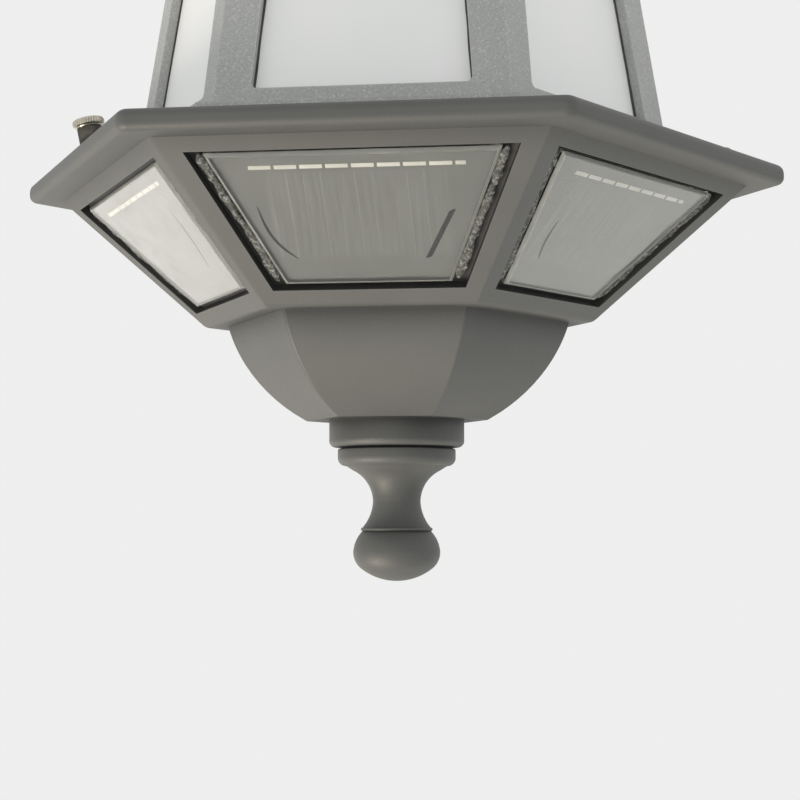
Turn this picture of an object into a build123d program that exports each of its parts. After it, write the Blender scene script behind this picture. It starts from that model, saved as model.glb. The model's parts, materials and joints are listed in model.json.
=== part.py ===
from build123d import *
import math
import os

# Solar wall lantern with a six-sided head of solar panels, in millimetres.
# The origin is the middle of the wall bracket's back face. +Y points into the wall, +Z up and
# -Y to the front. The lantern hangs from its arm with the solar head and finial below.
# Heights of the lantern are measured from the eave level, the upper face of the head's eave.

# Wall plate, bracket and fixings
PLATE_WIDTH = 110.0
PLATE_HEIGHT = 150.0
PLATE_CORNER = 34.0
PLATE_STEP = 7.0            # depth of the wider back step
PLATE_BORDER = 9.0          # the raised field is this much smaller all round
PLATE_DEPTH = 18.0
PLATE_WALL = 3.5
PLATE_EDGE = 2.5            # rounding of the plate's front edges
WALL_GASKET = 2.0
WALL_GASKET_WIDTH = 6.0
WALL_GASKET_INSET = 0.5     # from the plate's edge
BRACKET_WIDTH = 24.0
BRACKET_LENGTH = 124.0
BRACKET_THICKNESS = 2.0
SLOT_SPACING = 70.0
SLOT_LENGTH = 12.0
SLOT_WIDTH = 5.5
STUD_SPACING = 104.0
STUD_RADIUS = 2.5
STUD_TAIL = 7.0             # length of stud inside the cap nut
CAP_NUT_FLATS = 8.0
CAP_NUT_HEX = 4.0
CAP_NUT_DOME = 3.6          # radius of the domed end
THREAD_GAP = 0.05           # radial gap between a plain shank and the bore that stands for its thread
THREAD_END = 0.5            # hole left beyond the end of a screw or stud
TOLERANCE = 0.01            # for finding an edge by its place or radius
SHANK_GAP = 0.3             # radial gap of a shank in a clearance hole

# Arm
AXIS_OFFSET = 140.0         # from the wall to the lantern's axis
ARM_RADIUS = 8.0
ARM_FLANGE_RADIUS = 24.0
ARM_FLANGE_THICKNESS = 8.0
ARM_SCREW_SPACING = 28.0
ARM_SCREW_RADIUS = 2.0
ARM_SCREW_DEPTH = 6.5       # depth of the tapped holes in the arm's flange
ARM_SCREW_HEAD_RADIUS = 3.6
ARM_SCREW_HEAD = 2.4
ARM_RUN = 8.0
ARM_RISE_RADIUS = 36.0
ARM_RISE_ANGLE = 50.0
ARM_DROP = 12.0
ARM_CUP_RADIUS = 12.5
ARM_CUP_LENGTH = 16.0
NIPPLE_RADIUS = 5.0
NIPPLE_BORE = 3.2
NIPPLE_IN_ARM = 13.0
NIPPLE_TAIL = 9.0           # length of nipple below the cage's top plate
NIPPLE_NUT_FLATS = 14.0
NIPPLE_NUT_THICKNESS = 4.0
NIPPLE_WASHER_RADIUS = 11.0
NIPPLE_WASHER_THICKNESS = 1.5

# Cage that holds the frosted panes, and its cap
CAGE_SETBACK = 32.6         # cage's corner inside the eave's corner, at the eave level
CAGE_TAPER = 0.166          # corner radius lost for each millimetre of height
CAGE_TOP = 150.0
CAGE_WALL = 3.0
CAGE_TOP_PLATE = 3.0
CAGE_FLANGE_REACH = 4.6      # flange's corner outside the cage's corner
CAGE_FLANGE = 5.4           # height of the flange, whose upper edge shows above the eave
EAR_THICKNESS = 2.0         # latch ear and hinge ear
POST_WIDTH = 9.8            # from a corner to the window
RAIL_FOOT = 10.8            # eave level to the window's lower edge
RAIL_HEAD = 13.0            # window's upper edge to the cage's top
WINDOW_CORNER = 1.5
PANE_THICKNESS = 3.0
PANE_OVERLAP = 4.0
PANE_GAP = 0.1
CLIP_THICKNESS = 0.8
CLIP_HEIGHT = 10.0
CLIP_WING = 9.0             # reach of a clip behind each of its two panes
CLIP_RIVET_RADIUS = 1.2
CLIP_HEIGHTS = (26.0, 122.0)
CAP_OVERHANG = 3.5          # cap's corner outside the cage's upper corner
CAP_RIM = 4.0
CAP_HEIGHT = 26.0
CAP_NECK_RADIUS = 13.0
CAP_NECK = 6.0
CAP_WALL = 3.0
CAP_SHOULDER = 1.0          # flat ring around the neck
CAP_SWEEP_OUT = 0.35        # middle of the bell's curve, as shares of its width and height
CAP_SWEEP_UP = 0.3

# Solar head: face profile as distance of a side from the axis, and drop below the eave level
EAVE_RADIUS = 112.0         # across corners
EAVE_FACE = 5.8
EAVE_CORNER_ROUND = 3.6
EAVE_TOP_ROUND = 2.6
EAVE_FOOT_ROUND = 2.0
EAVE_OVERHANG = 10.9         # eave's corner outside the crease, where the slope starts
SLOPE_RUN = 42.4            # crease's corner outside the slope's lower corner
SLOPE_END_DROP = 42.85
SLOPE_WALL = 4.2
STEP_DROP = 44.4
STEP_ROUND = 3.0
STEP_WALL = 3.0
MITRE_ROUND = 1.2           # edges between the head's six sides
DOME_STEP = 8.4             # slope's lower corner outside the dome's upper corner
DOME_ARC_RADIUS = 47.1      # radius of each side's curve
DOME_CENTRE_DROP = 32.3
DOME_DROP = 72.2
DOME_WALL = 2.6
COLLAR_RADIUS = 19.6
COLLAR_HEIGHT = 7.8
COLLAR_ROUND = 1.8
HEAD_LEDGE = 6.0            # ledge that the head plate lies on
EAVE_WALL = 7.0             # eave outside the head plate

# Solar windows, panels and sealant
WINDOW_FOOT_MARGIN = 3.2
WINDOW_HEAD_MARGIN = 4.7
WINDOW_FOOT_SIDE = 4.9
WINDOW_HEAD_SIDE = 6.0
WINDOW_LEDGE = 3.0          # ledge under each edge of the panel
WINDOW_DEPTH = 2.9
PANEL_SIDE_GAP = 4.2
PANEL_END_GAP = 1.4
PANEL_BOARD = 1.0
PANEL_COVER = 1.4
PANEL_BEVEL = 0.6
BEAD_HEIGHT = 2.0
BEAD_GAP = 0.1

# Head plate and what it carries
HEAD_PLATE = 2.0
HEAD_PLATE_GAP = 0.3
HEAD_SCREW_SETBACK = 22.0   # screws inside the eave's corners
HEAD_SCREW_RADIUS = 2.0
HEAD_SCREW_HEAD_RADIUS = 3.5
HEAD_SCREW_HEAD = 2.2
HEAD_SCREW_LENGTH = 10.0
HEAD_BOSS_RADIUS = 4.5
HEAD_BOSS_DEPTH = 15.0
GASKET_THICKNESS = 0.8
GASKET_INSET = 1.0          # gasket's corner inside the cage flange's corner
GASKET_WIDTH = 7.0          # measured at a corner
SEAL_GAP = 0.2              # left between the gasket and the closed cage
LED_BOARD_RADIUS = 15.0
LED_BOARD_THICKNESS = 1.6
LED_SIZE = 3.5
LED_HEIGHT = 0.8
LED_CIRCLE = 9.0
LED_COUNT = 6
DIFFUSER_RADIUS = 18.0
DIFFUSER_FLANGE = 23.0
DIFFUSER_HEIGHT = 15.0
DIFFUSER_WALL = 1.5
DIFFUSER_SCREW_CIRCLE = 20.4
DIFFUSER_SCREW_RADIUS = 1.0
DIFFUSER_SCREW_HEAD = 1.9
DIFFUSER_SCREWS = 3
DIFFUSER_SCREW_TURN = 30
CELL_RADIUS = 9.2
CELL_LENGTH = 65.0
CELL_CENTRE = 38.0          # from the axis towards the wall
CELL_SINK = 1.0             # top of the cell below the eave level
CELL_BUTTON = 1.0           # height of the raised end, and rounding of the can
CELL_BUTTON_RADIUS = 3.2
CLOSE_GAP = 0.1             # between pieces that rest together
BATTERY_WALL = 1.6
BATTERY_END_ROOM = 2.5      # for the contact at each end of the cell
CONTACT_THICKNESS = 0.5
CONTACT_WIDTH = 10.0
CONTACT_REACH = 7.4         # of the flat leaf above and below the cell's centre
CONTACT_BEND = 0.9          # the leaf's tip runs from here down past the cell's centre
CONTACT_TIP = 2.8
COVER_THICKNESS = 1.5
COVER_OVERLAP = 2.0
COVER_LIFT = 0.3            # gap below the cover
COVER_BARREL = 1.7
COVER_PIN_RADIUS = 0.8
COVER_EAR = 2.0
COVER_GRIP = 2.5
MOVING_GAP = 0.3            # gap beside a part that moves
PIN_GAP = 0.05              # radial gap of a hinge pin in a part that turns on it
CONTROL_BOARD_WIDTH = 56.0
CONTROL_BOARD_DEPTH = 30.0
CONTROL_BOARD_THICKNESS = 1.6
CONTROL_BOARD_CENTRE = -36.0
SPACER_LENGTH = 8.0
SPACER_RADIUS = 2.5
SPACER_BORE = 1.2
CHIP_LENGTH = 14.0
CHIP_WIDTH = 9.0
CHIP_HEIGHT = 2.2
CAPACITOR_RADIUS = 4.0
CAPACITOR_HEIGHT = 8.0
CAPACITOR_PLACE = 15.0
SWITCH_PLACE = 52.0
SWITCH_LENGTH = 16.0
SWITCH_WIDTH = 7.0
SWITCH_HEIGHT = 6.0
SWITCH_TRAVEL = 4.0
SLIDER_LENGTH = 4.0
SLIDER_WIDTH = 3.6
SLIDER_HEIGHT = 5.0

# Finial
FINIAL_GAP = 0.5            # rubber ring between collar and finial
FINIAL_FLANGE_RADIUS = 17.1
FINIAL_FLANGE = 4.9
FINIAL_FLANGE_ROUND = 2.3
FINIAL_EDGE_ROUND = 0.4
FINIAL_NECK_RADIUS = 6.9
FINIAL_NECK_DROP = 15.3     # flange top to the narrowest place
FINIAL_NECK_ARC = 10.1      # radius of the curve above the narrowest place
FINIAL_NECK_TURN = 64       # degrees
FINIAL_FLARE_SAG = 0.7      # hollow of the curve below it
FINIAL_RING_RADIUS = 10.4
FINIAL_RING_DROP = 23.2
FINIAL_RING = 1.0
FINIAL_BALL_RADIUS = 12.6
FINIAL_BALL_SIDE = 6.0      # radius of the ball's side arc
FINIAL_CROWN_IN = 0.55      # a place on the ball's upper curve, in and up from its widest
FINIAL_CROWN_UP = 2.7
FINIAL_BALL_DROP = 29.8
FINIAL_TIP_DROP = 38.1
FINIAL_STUD_RADIUS = 3.0
FINIAL_STUD_IN = 14.0
FINIAL_NUT_FLATS = 10.0
FINIAL_NUT_THICKNESS = 5.0
FINIAL_WASHER_RADIUS = 8.0
FINIAL_WASHER_THICKNESS = 1.2

# Thumb screw that locks the head at the left corner
SCREW_SETBACK = 22.2        # inside the eave's corner, where its axis crosses the eave level
SCREW_LEAN = 12.0           # degrees outwards
SCREW_RADIUS = 2.0
SCREW_TIP = 5.0             # reach below the eave level
SCREW_TRAVEL = 6.0
SCREW_HEAD_RADIUS = 4.8
SCREW_HEAD = 2.3
SCREW_HEAD_ROUND = 0.7
SCREW_SHOULDER_RADIUS = 3.8
SCREW_SHOULDER = 6.6
KNURL_COUNT = 28
KNURL_DEPTH = 0.25
SCREW_BOSS_RADIUS = 5.3
SCREW_BOSS_TOP = 10.6
CLIP_RING_RADIUS = 3.4
CLIP_RING_THICKNESS = 0.8
CLIP_RING_PLACE = 1.8
LATCH_EAR_SETBACK = 15.0    # ear's end inside the eave's corner
LATCH_EAR_WIDTH = 17.0

# Hinge at the right corner
HINGE_SETBACK = 17.0        # pin centre inside the eave's corner
HINGE_BARREL = 2.0
HINGE_PIN_RADIUS = 1.0
HINGE_LEAF = 1.2
HINGE_CLEAR = 0.2           # barrel above the eave level
HINGE_WIDTH = 13.0
HINGE_TONGUE = 5.5          # width of the middle knuckle
HINGE_EAR_SETBACK = 4.0     # ear's end inside the pin centre
HINGE_EAR_WIDTH = 14.0
HINGE_LEAF_LENGTH = 7.5    # tongue's leaf, from the pin centre
HINGE_FLANGE_GAP = 0.5      # between the bracket and the cage's flange
RIVET_RADIUS = 1.2
RIVET_HEAD_RADIUS = 2.0
RIVET_HEAD = 0.6
RIVET_SPACING = 8.5
TONGUE_SCREW_DEPTH = 4.0
PAD_SETBACK = 27.5          # inner edge of the two corner pads, inside the eave's corner
PAD_WIDTH = 20.0
PAD_DEPTH = 13.0
PAD_GAP = 0.4

EDGE_TAPER = 30             # degrees, bevelled ends of heads
CUT_ROOM = 1.0              # how far a cut starts outside the face it cuts
SIDES = 6
SIDE_TURN = 360 / SIDES
FRONT = 270                 # direction of the front side, -Y
REACH = 2 * EAVE_RADIUS     # for cuts and prisms across the lantern


def side_distance(corner_radius):
    """Distance from the axis to a side of a hexagon, from the distance to its corners."""
    return corner_radius * math.cos(math.radians(SIDE_TURN / 2))


def corner_distance(side):
    """Distance from the axis to a corner of a hexagon, from the distance to its sides."""
    return side / math.cos(math.radians(SIDE_TURN / 2))


# Distances from the lantern's axis that follow from the eave's corner
crease_radius = EAVE_RADIUS - EAVE_OVERHANG
slope_end_radius = crease_radius - SLOPE_RUN
dome_top_radius = slope_end_radius - DOME_STEP
cage_foot_radius = EAVE_RADIUS - CAGE_SETBACK
cage_flange_radius = cage_foot_radius + CAGE_FLANGE_REACH
gasket_outer = cage_flange_radius - GASKET_INSET
head_screw_circle = EAVE_RADIUS - HEAD_SCREW_SETBACK
screw_circle = EAVE_RADIUS - SCREW_SETBACK
latch_ear_reach = EAVE_RADIUS - LATCH_EAR_SETBACK
hinge_reach = EAVE_RADIUS - HINGE_SETBACK
hinge_ear_reach = hinge_reach - HINGE_EAR_SETBACK
hinge_tail = hinge_reach + HINGE_LEAF_LENGTH
pad_reach = EAVE_RADIUS - PAD_SETBACK

# The arm's centre line: straight out, up through one bend, then over through a second bend
plate_face = WALL_GASKET + PLATE_DEPTH
arm_start = plate_face + ARM_FLANGE_THICKNESS
rise = math.radians(ARM_RISE_ANGLE)
crook_start = arm_start + ARM_RUN + ARM_RISE_RADIUS * math.sin(rise)
crook_radius = (AXIS_OFFSET - crook_start) / (1 + math.sin(rise))
crook_end = ARM_RISE_RADIUS * (1 - math.cos(rise)) - crook_radius * math.cos(rise)
arm_foot = crook_end - ARM_DROP - ARM_CUP_LENGTH
EAVE_LEVEL = arm_foot - CAP_HEIGHT - CAGE_TOP


def cage_radius(height):
    """Distance from the axis to the cage's corner at a height."""
    return cage_foot_radius - CAGE_TAPER * height


def at_height(height):
    """Level plane at a height above the eave level, centred on the lantern's axis."""
    return Plane((0, -AXIS_OFFSET, EAVE_LEVEL + height))


def profile_plane(turn=0.0):
    """Upright plane through the lantern's axis: X runs outwards and Y up from the eave level."""
    angle = math.radians(turn)
    return Plane(
        origin=(0, -AXIS_OFFSET, EAVE_LEVEL),
        x_dir=(math.cos(angle), math.sin(angle), 0),
        z_dir=(math.sin(angle), -math.cos(angle), 0),
    )


def side_plane(side, foot, head, lift=0.0):
    """Plane of one sloping side through two profile points (distance, height): X runs along
    the side, Y climbs from foot to head and Z points outwards. A lift moves it outwards."""
    turn = math.radians(FRONT + side * SIDE_TURN)
    length = math.dist(foot, head)
    climb_out, climb_up = (head[0] - foot[0]) / length, (head[1] - foot[1]) / length
    out = Vector(math.cos(turn), math.sin(turn), 0)
    normal = out * climb_up - Vector(0, 0, climb_out)
    start = out * foot[0] + Vector(0, -AXIS_OFFSET, EAVE_LEVEL + foot[1])
    along = Vector(-math.sin(turn), math.cos(turn), 0)
    return Plane(origin=start + normal * lift, x_dir=along, z_dir=normal)


def round_edges(builder, radius):
    """Circular edges of one radius on a piece being built."""
    circles = builder.edges().filter_by(GeomType.CIRCLE)
    return circles.filter_by(lambda edge: abs(edge.radius - radius) < TOLERANCE)


# The head screws stand at the four corners that have neither latch nor hinge
head_screw_places = [
    Vector(head_screw_circle, 0).rotate(Axis.Z, corner * SIDE_TURN) for corner in (1, 2, 4, 5)]

# Rows of the two rivets in the hinge bracket and of the two screws in the tongue
rivet_place = hinge_ear_reach - RIVET_HEAD_RADIUS - 2 * RIVET_RADIUS
tongue_screw_place = hinge_tail - RIVET_HEAD_RADIUS - RIVET_RADIUS

LANTERN_AXIS = Axis((0, -AXIS_OFFSET, EAVE_LEVEL), (0, 0, 1))
WALL_PLANE = Plane(origin=(0, 0, 0), x_dir=(1, 0, 0), z_dir=(0, -1, 0))
ARM_PLANE = Plane(origin=(0, 0, 0), x_dir=(0, -1, 0), z_dir=(-1, 0, 0))


def mitre_edges(builder, corner):
    """Edges in the upright plane through the axis and a corner of the hexagon."""
    turn = math.radians(corner * SIDE_TURN)
    across = Vector(-math.sin(turn), math.cos(turn), 0)
    centre = Vector(0, -AXIS_OFFSET, 0)
    return builder.edges().filter_by(lambda edge: max(
        abs((edge @ place - centre).dot(across)) for place in (0, 0.5, 1)) < TOLERANCE)


def hexagonal_solid(draw_outline, mitre_round=0.0):
    """Six-sided solid from a half outline in (distance of a side, height): three prisms, one
    for each pair of opposite sides, share the solid between them. Mitres can be rounded."""
    with BuildPart() as form:
        for turn in (30, 90, 150):
            with BuildSketch(profile_plane(turn)):
                with BuildLine():
                    draw_outline()
                    mirror(about=Plane.YZ)
                make_face()
            extrude(amount=REACH, both=True, mode=Mode.ADD if turn == 30 else Mode.INTERSECT)
        if mitre_round:
            for corner in range(SIDES // 2):
                fillet(mitre_edges(form, corner), mitre_round)
    return form.part


def keep(builder, name):
    """Label a finished piece and write it to its own file."""
    builder.part.label = name
    export_step(builder.part, f"parts/{name}.step")


os.makedirs("parts", exist_ok=True)

# Wall bracket: a steel strip with two slots for the wall screws and two tapped holes for studs

with BuildPart() as wall_bracket:
    with BuildSketch(WALL_PLANE):
        RectangleRounded(BRACKET_WIDTH, BRACKET_LENGTH, BRACKET_WIDTH / 4)
        with GridLocations(0, SLOT_SPACING, 1, 2):
            SlotOverall(SLOT_LENGTH, SLOT_WIDTH, rotation=90, mode=Mode.SUBTRACT)
        with GridLocations(0, STUD_SPACING, 1, 2):
            Circle(STUD_RADIUS + THREAD_GAP, mode=Mode.SUBTRACT)
    extrude(amount=BRACKET_THICKNESS)
keep(wall_bracket, "wall_bracket")

# Two studs stand out of the bracket and through the plate, and end inside the cap nuts

stud_length = plate_face + STUD_TAIL - BRACKET_THICKNESS / 4
with BuildPart() as bracket_studs:
    with BuildSketch(WALL_PLANE.offset(BRACKET_THICKNESS / 4)):
        with GridLocations(0, STUD_SPACING, 1, 2):
            Circle(STUD_RADIUS)
    extrude(amount=stud_length)
    chamfer(bracket_studs.faces().sort_by(Axis.Y)[:2].edges(), STUD_RADIUS / 5)
keep(bracket_studs, "bracket_studs")

cap_nut_bore = STUD_TAIL + THREAD_END
with BuildPart() as cap_nuts:
    with BuildSketch(WALL_PLANE.offset(plate_face)):
        with GridLocations(0, STUD_SPACING, 1, 2):
            RegularPolygon(CAP_NUT_FLATS / 2, SIDES, major_radius=False)
    extrude(amount=CAP_NUT_HEX)
    with BuildSketch(WALL_PLANE.offset(plate_face)):
        with GridLocations(0, STUD_SPACING, 1, 2):
            Circle(CAP_NUT_DOME)
    extrude(amount=cap_nut_bore + CAP_NUT_DOME / 2)
    fillet(cap_nuts.faces().sort_by(Axis.Y)[:2].edges(), CAP_NUT_DOME * 0.8)
    with BuildSketch(WALL_PLANE.offset(plate_face)):
        with GridLocations(0, STUD_SPACING, 1, 2):
            Circle(STUD_RADIUS + THREAD_GAP)
    extrude(amount=cap_nut_bore, mode=Mode.SUBTRACT)
keep(cap_nuts, "cap_nuts")

# Wall plate: a hollow casting with a raised field, held against the wall by the studs

field_width = PLATE_WIDTH - 2 * PLATE_BORDER
field_height = PLATE_HEIGHT - 2 * PLATE_BORDER
field_corner = PLATE_CORNER - PLATE_BORDER
with BuildPart() as wall_plate:
    with BuildSketch(WALL_PLANE.offset(WALL_GASKET)):
        RectangleRounded(PLATE_WIDTH, PLATE_HEIGHT, PLATE_CORNER)
    extrude(amount=PLATE_STEP)
    fillet(wall_plate.faces().sort_by(Axis.Y)[0].edges(), PLATE_EDGE)
    with BuildSketch(WALL_PLANE.offset(WALL_GASKET)):
        RectangleRounded(field_width, field_height, field_corner)
    extrude(amount=PLATE_DEPTH)
    fillet(wall_plate.faces().sort_by(Axis.Y)[0].edges(), PLATE_EDGE)
    with BuildSketch(WALL_PLANE.offset(WALL_GASKET)):
        RectangleRounded(PLATE_WIDTH - 2 * PLATE_WALL, PLATE_HEIGHT - 2 * PLATE_WALL,
                         PLATE_CORNER - PLATE_WALL)
    extrude(amount=PLATE_STEP - PLATE_WALL, mode=Mode.SUBTRACT)
    with BuildSketch(WALL_PLANE.offset(WALL_GASKET)):
        RectangleRounded(field_width - 2 * PLATE_WALL, field_height - 2 * PLATE_WALL,
                         field_corner - PLATE_WALL)
    extrude(amount=PLATE_DEPTH - PLATE_WALL, mode=Mode.SUBTRACT)
    with BuildSketch(WALL_PLANE):
        with GridLocations(0, STUD_SPACING, 1, 2):
            Circle(STUD_RADIUS + SHANK_GAP)
        with GridLocations(0, ARM_SCREW_SPACING, 1, 2):
            Circle(ARM_SCREW_RADIUS + SHANK_GAP)
    extrude(amount=REACH, mode=Mode.SUBTRACT)
keep(wall_plate, "wall_plate")

with BuildPart() as wall_gasket:
    with BuildSketch(WALL_PLANE):
        RectangleRounded(PLATE_WIDTH - 2 * WALL_GASKET_INSET, PLATE_HEIGHT - 2 * WALL_GASKET_INSET,
                         PLATE_CORNER - WALL_GASKET_INSET)
        RectangleRounded(PLATE_WIDTH - 2 * WALL_GASKET_WIDTH, PLATE_HEIGHT - 2 * WALL_GASKET_WIDTH,
                         PLATE_CORNER - WALL_GASKET_WIDTH, mode=Mode.SUBTRACT)
    extrude(amount=WALL_GASKET)
keep(wall_gasket, "wall_gasket")

# Arm: a round bar from the wall flange over to the cup that holds the lantern's nipple

with BuildPart() as arm:
    with BuildLine(ARM_PLANE) as arm_path:
        run = Line((plate_face + CUT_ROOM, 0), (arm_start + ARM_RUN, 0))
        lift = JernArc(run @ 1, run % 1, ARM_RISE_RADIUS, ARM_RISE_ANGLE)
        crook = JernArc(lift @ 1, lift % 1, crook_radius, -90 - ARM_RISE_ANGLE)
        Line(crook @ 1, crook @ 1 + crook % 1 * (ARM_DROP + ARM_CUP_LENGTH / 2))
    with BuildSketch(Plane(origin=arm_path.line @ 0, z_dir=arm_path.line % 0)):
        Circle(ARM_RADIUS)
    sweep()
    with BuildSketch(WALL_PLANE.offset(plate_face)):
        Circle(ARM_FLANGE_RADIUS)
    extrude(amount=ARM_FLANGE_THICKNESS)
    fillet(round_edges(arm, ARM_FLANGE_RADIUS).sort_by(Axis.Y)[0], ARM_FLANGE_THICKNESS / 2)
    with BuildSketch(WALL_PLANE.offset(plate_face)):
        with GridLocations(0, ARM_SCREW_SPACING, 1, 2):
            Circle(ARM_SCREW_RADIUS + THREAD_GAP)
    extrude(amount=ARM_SCREW_DEPTH, mode=Mode.SUBTRACT)
    with BuildSketch(Plane((0, -AXIS_OFFSET, arm_foot))):
        Circle(ARM_CUP_RADIUS)
    extrude(amount=ARM_CUP_LENGTH)
    fillet(round_edges(arm, ARM_CUP_RADIUS).sort_by(Axis.Z)[-1], (ARM_CUP_RADIUS - ARM_RADIUS) * 0.8)
    with BuildSketch(Plane((0, -AXIS_OFFSET, arm_foot))):
        Circle(NIPPLE_RADIUS + THREAD_GAP)
    extrude(amount=NIPPLE_IN_ARM + THREAD_END, mode=Mode.SUBTRACT)
keep(arm, "arm")

with BuildPart() as arm_screws:
    with BuildSketch(WALL_PLANE.offset(plate_face - PLATE_WALL)):
        with GridLocations(0, ARM_SCREW_SPACING, 1, 2):
            Circle(ARM_SCREW_RADIUS)
    extrude(amount=PLATE_WALL + ARM_SCREW_DEPTH - THREAD_END)
    with BuildSketch(WALL_PLANE.offset(plate_face - PLATE_WALL - ARM_SCREW_HEAD)):
        with GridLocations(0, ARM_SCREW_SPACING, 1, 2):
            Circle(ARM_SCREW_HEAD_RADIUS)
    extrude(amount=ARM_SCREW_HEAD)
keep(arm_screws, "arm_screws")

# Cap over the cage's narrow end: a hexagonal bell with a round neck

cap_neck_base = CAGE_TOP + CAP_HEIGHT - CAP_NECK


def cap_outline(inset, base):
    """Half outline of the bell, drawn smaller by inset for the hollow inside it."""
    rim = side_distance(cage_radius(CAGE_TOP) + CAP_OVERHANG) - inset
    neck = CAP_NECK_RADIUS + CAP_SHOULDER - inset
    rim_top = CAGE_TOP + CAP_RIM
    Polyline((0, base), (rim, base), (rim, rim_top - inset))
    sweep_out = neck + (rim - neck) * CAP_SWEEP_OUT
    sweep_up = rim_top - inset + (cap_neck_base - rim_top) * CAP_SWEEP_UP
    ThreePointArc((rim, rim_top - inset), (sweep_out, sweep_up), (neck, cap_neck_base - inset))
    Line((neck, cap_neck_base - inset), (0, cap_neck_base - inset))


cap_outside = hexagonal_solid(lambda: cap_outline(0, CAGE_TOP))
cap_hollow = hexagonal_solid(lambda: cap_outline(CAP_WALL, CAGE_TOP - CUT_ROOM))
with BuildPart() as top_cap:
    add(cap_outside)
    add(cap_hollow, mode=Mode.SUBTRACT)
    with BuildSketch(at_height(cap_neck_base - CAP_WALL)):
        Circle(CAP_NECK_RADIUS)
    extrude(amount=CAP_NECK + CAP_WALL)
    with BuildSketch(at_height(CAGE_TOP)):
        Circle(NIPPLE_RADIUS + SHANK_GAP)
    extrude(amount=REACH, mode=Mode.SUBTRACT)
keep(top_cap, "top_cap")

nipple_foot = CAGE_TOP - CAGE_TOP_PLATE - NIPPLE_TAIL
with BuildPart() as arm_nipple:
    with BuildSketch(at_height(nipple_foot)):
        Circle(NIPPLE_RADIUS)
        Circle(NIPPLE_BORE, mode=Mode.SUBTRACT)
    extrude(amount=NIPPLE_TAIL + CAGE_TOP_PLATE + CAP_HEIGHT + NIPPLE_IN_ARM)
keep(arm_nipple, "arm_nipple")

with BuildPart() as nipple_nut:
    with BuildSketch(at_height(CAGE_TOP - CAGE_TOP_PLATE)):
        Circle(NIPPLE_WASHER_RADIUS)
    extrude(amount=-NIPPLE_WASHER_THICKNESS)
    with BuildSketch(at_height(CAGE_TOP - CAGE_TOP_PLATE - NIPPLE_WASHER_THICKNESS)):
        RegularPolygon(NIPPLE_NUT_FLATS / 2, SIDES, major_radius=False)
    extrude(amount=-NIPPLE_NUT_THICKNESS)
    with BuildSketch(at_height(CAGE_TOP)):
        Circle(NIPPLE_RADIUS + THREAD_GAP)
    extrude(amount=-REACH, mode=Mode.SUBTRACT)
keep(nipple_nut, "nipple_nut")

# Cage: a tapering six-sided casting with a window on each side, a flange, a latch ear on the
# left corner and a hinge ear on the right corner


CAGE_BASE = GASKET_THICKNESS + SEAL_GAP
cage_foot = (side_distance(cage_radius(0)), 0)
cage_head = (side_distance(cage_radius(CAGE_TOP)), CAGE_TOP)
cage_side = math.dist(cage_foot, cage_head)
side_stretch = cage_side / CAGE_TOP          # length on a side for each millimetre of height


def cage_half_width(place, inset=0.0):
    """Half the width of a side at a distance up it, less what a corner keeps for the inset."""
    return (cage_radius(place / side_stretch) - corner_distance(inset)) / 2


def window_outline(grow):
    """Outline of a cage window on its side's plane, larger by grow."""
    foot = RAIL_FOOT * side_stretch - grow
    head = (CAGE_TOP - RAIL_HEAD) * side_stretch + grow
    foot_half = cage_half_width(foot) - POST_WIDTH + grow
    head_half = cage_half_width(head) - POST_WIDTH + grow
    Polygon((-foot_half, foot), (foot_half, foot), (head_half, head), (-head_half, head), align=None)


screw_plane = Plane(
    origin=(-screw_circle, -AXIS_OFFSET, EAVE_LEVEL),
    x_dir=(math.cos(math.radians(SCREW_LEAN)), 0, math.sin(math.radians(SCREW_LEAN))),
    z_dir=(-math.sin(math.radians(SCREW_LEAN)), 0, math.cos(math.radians(SCREW_LEAN))),
)
clip_pocket_top = CLIP_RING_PLACE + CLIP_RING_THICKNESS + SCREW_TRAVEL + THREAD_END
screw_boss_foot = CAGE_BASE + EAR_THICKNESS / 2

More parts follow.
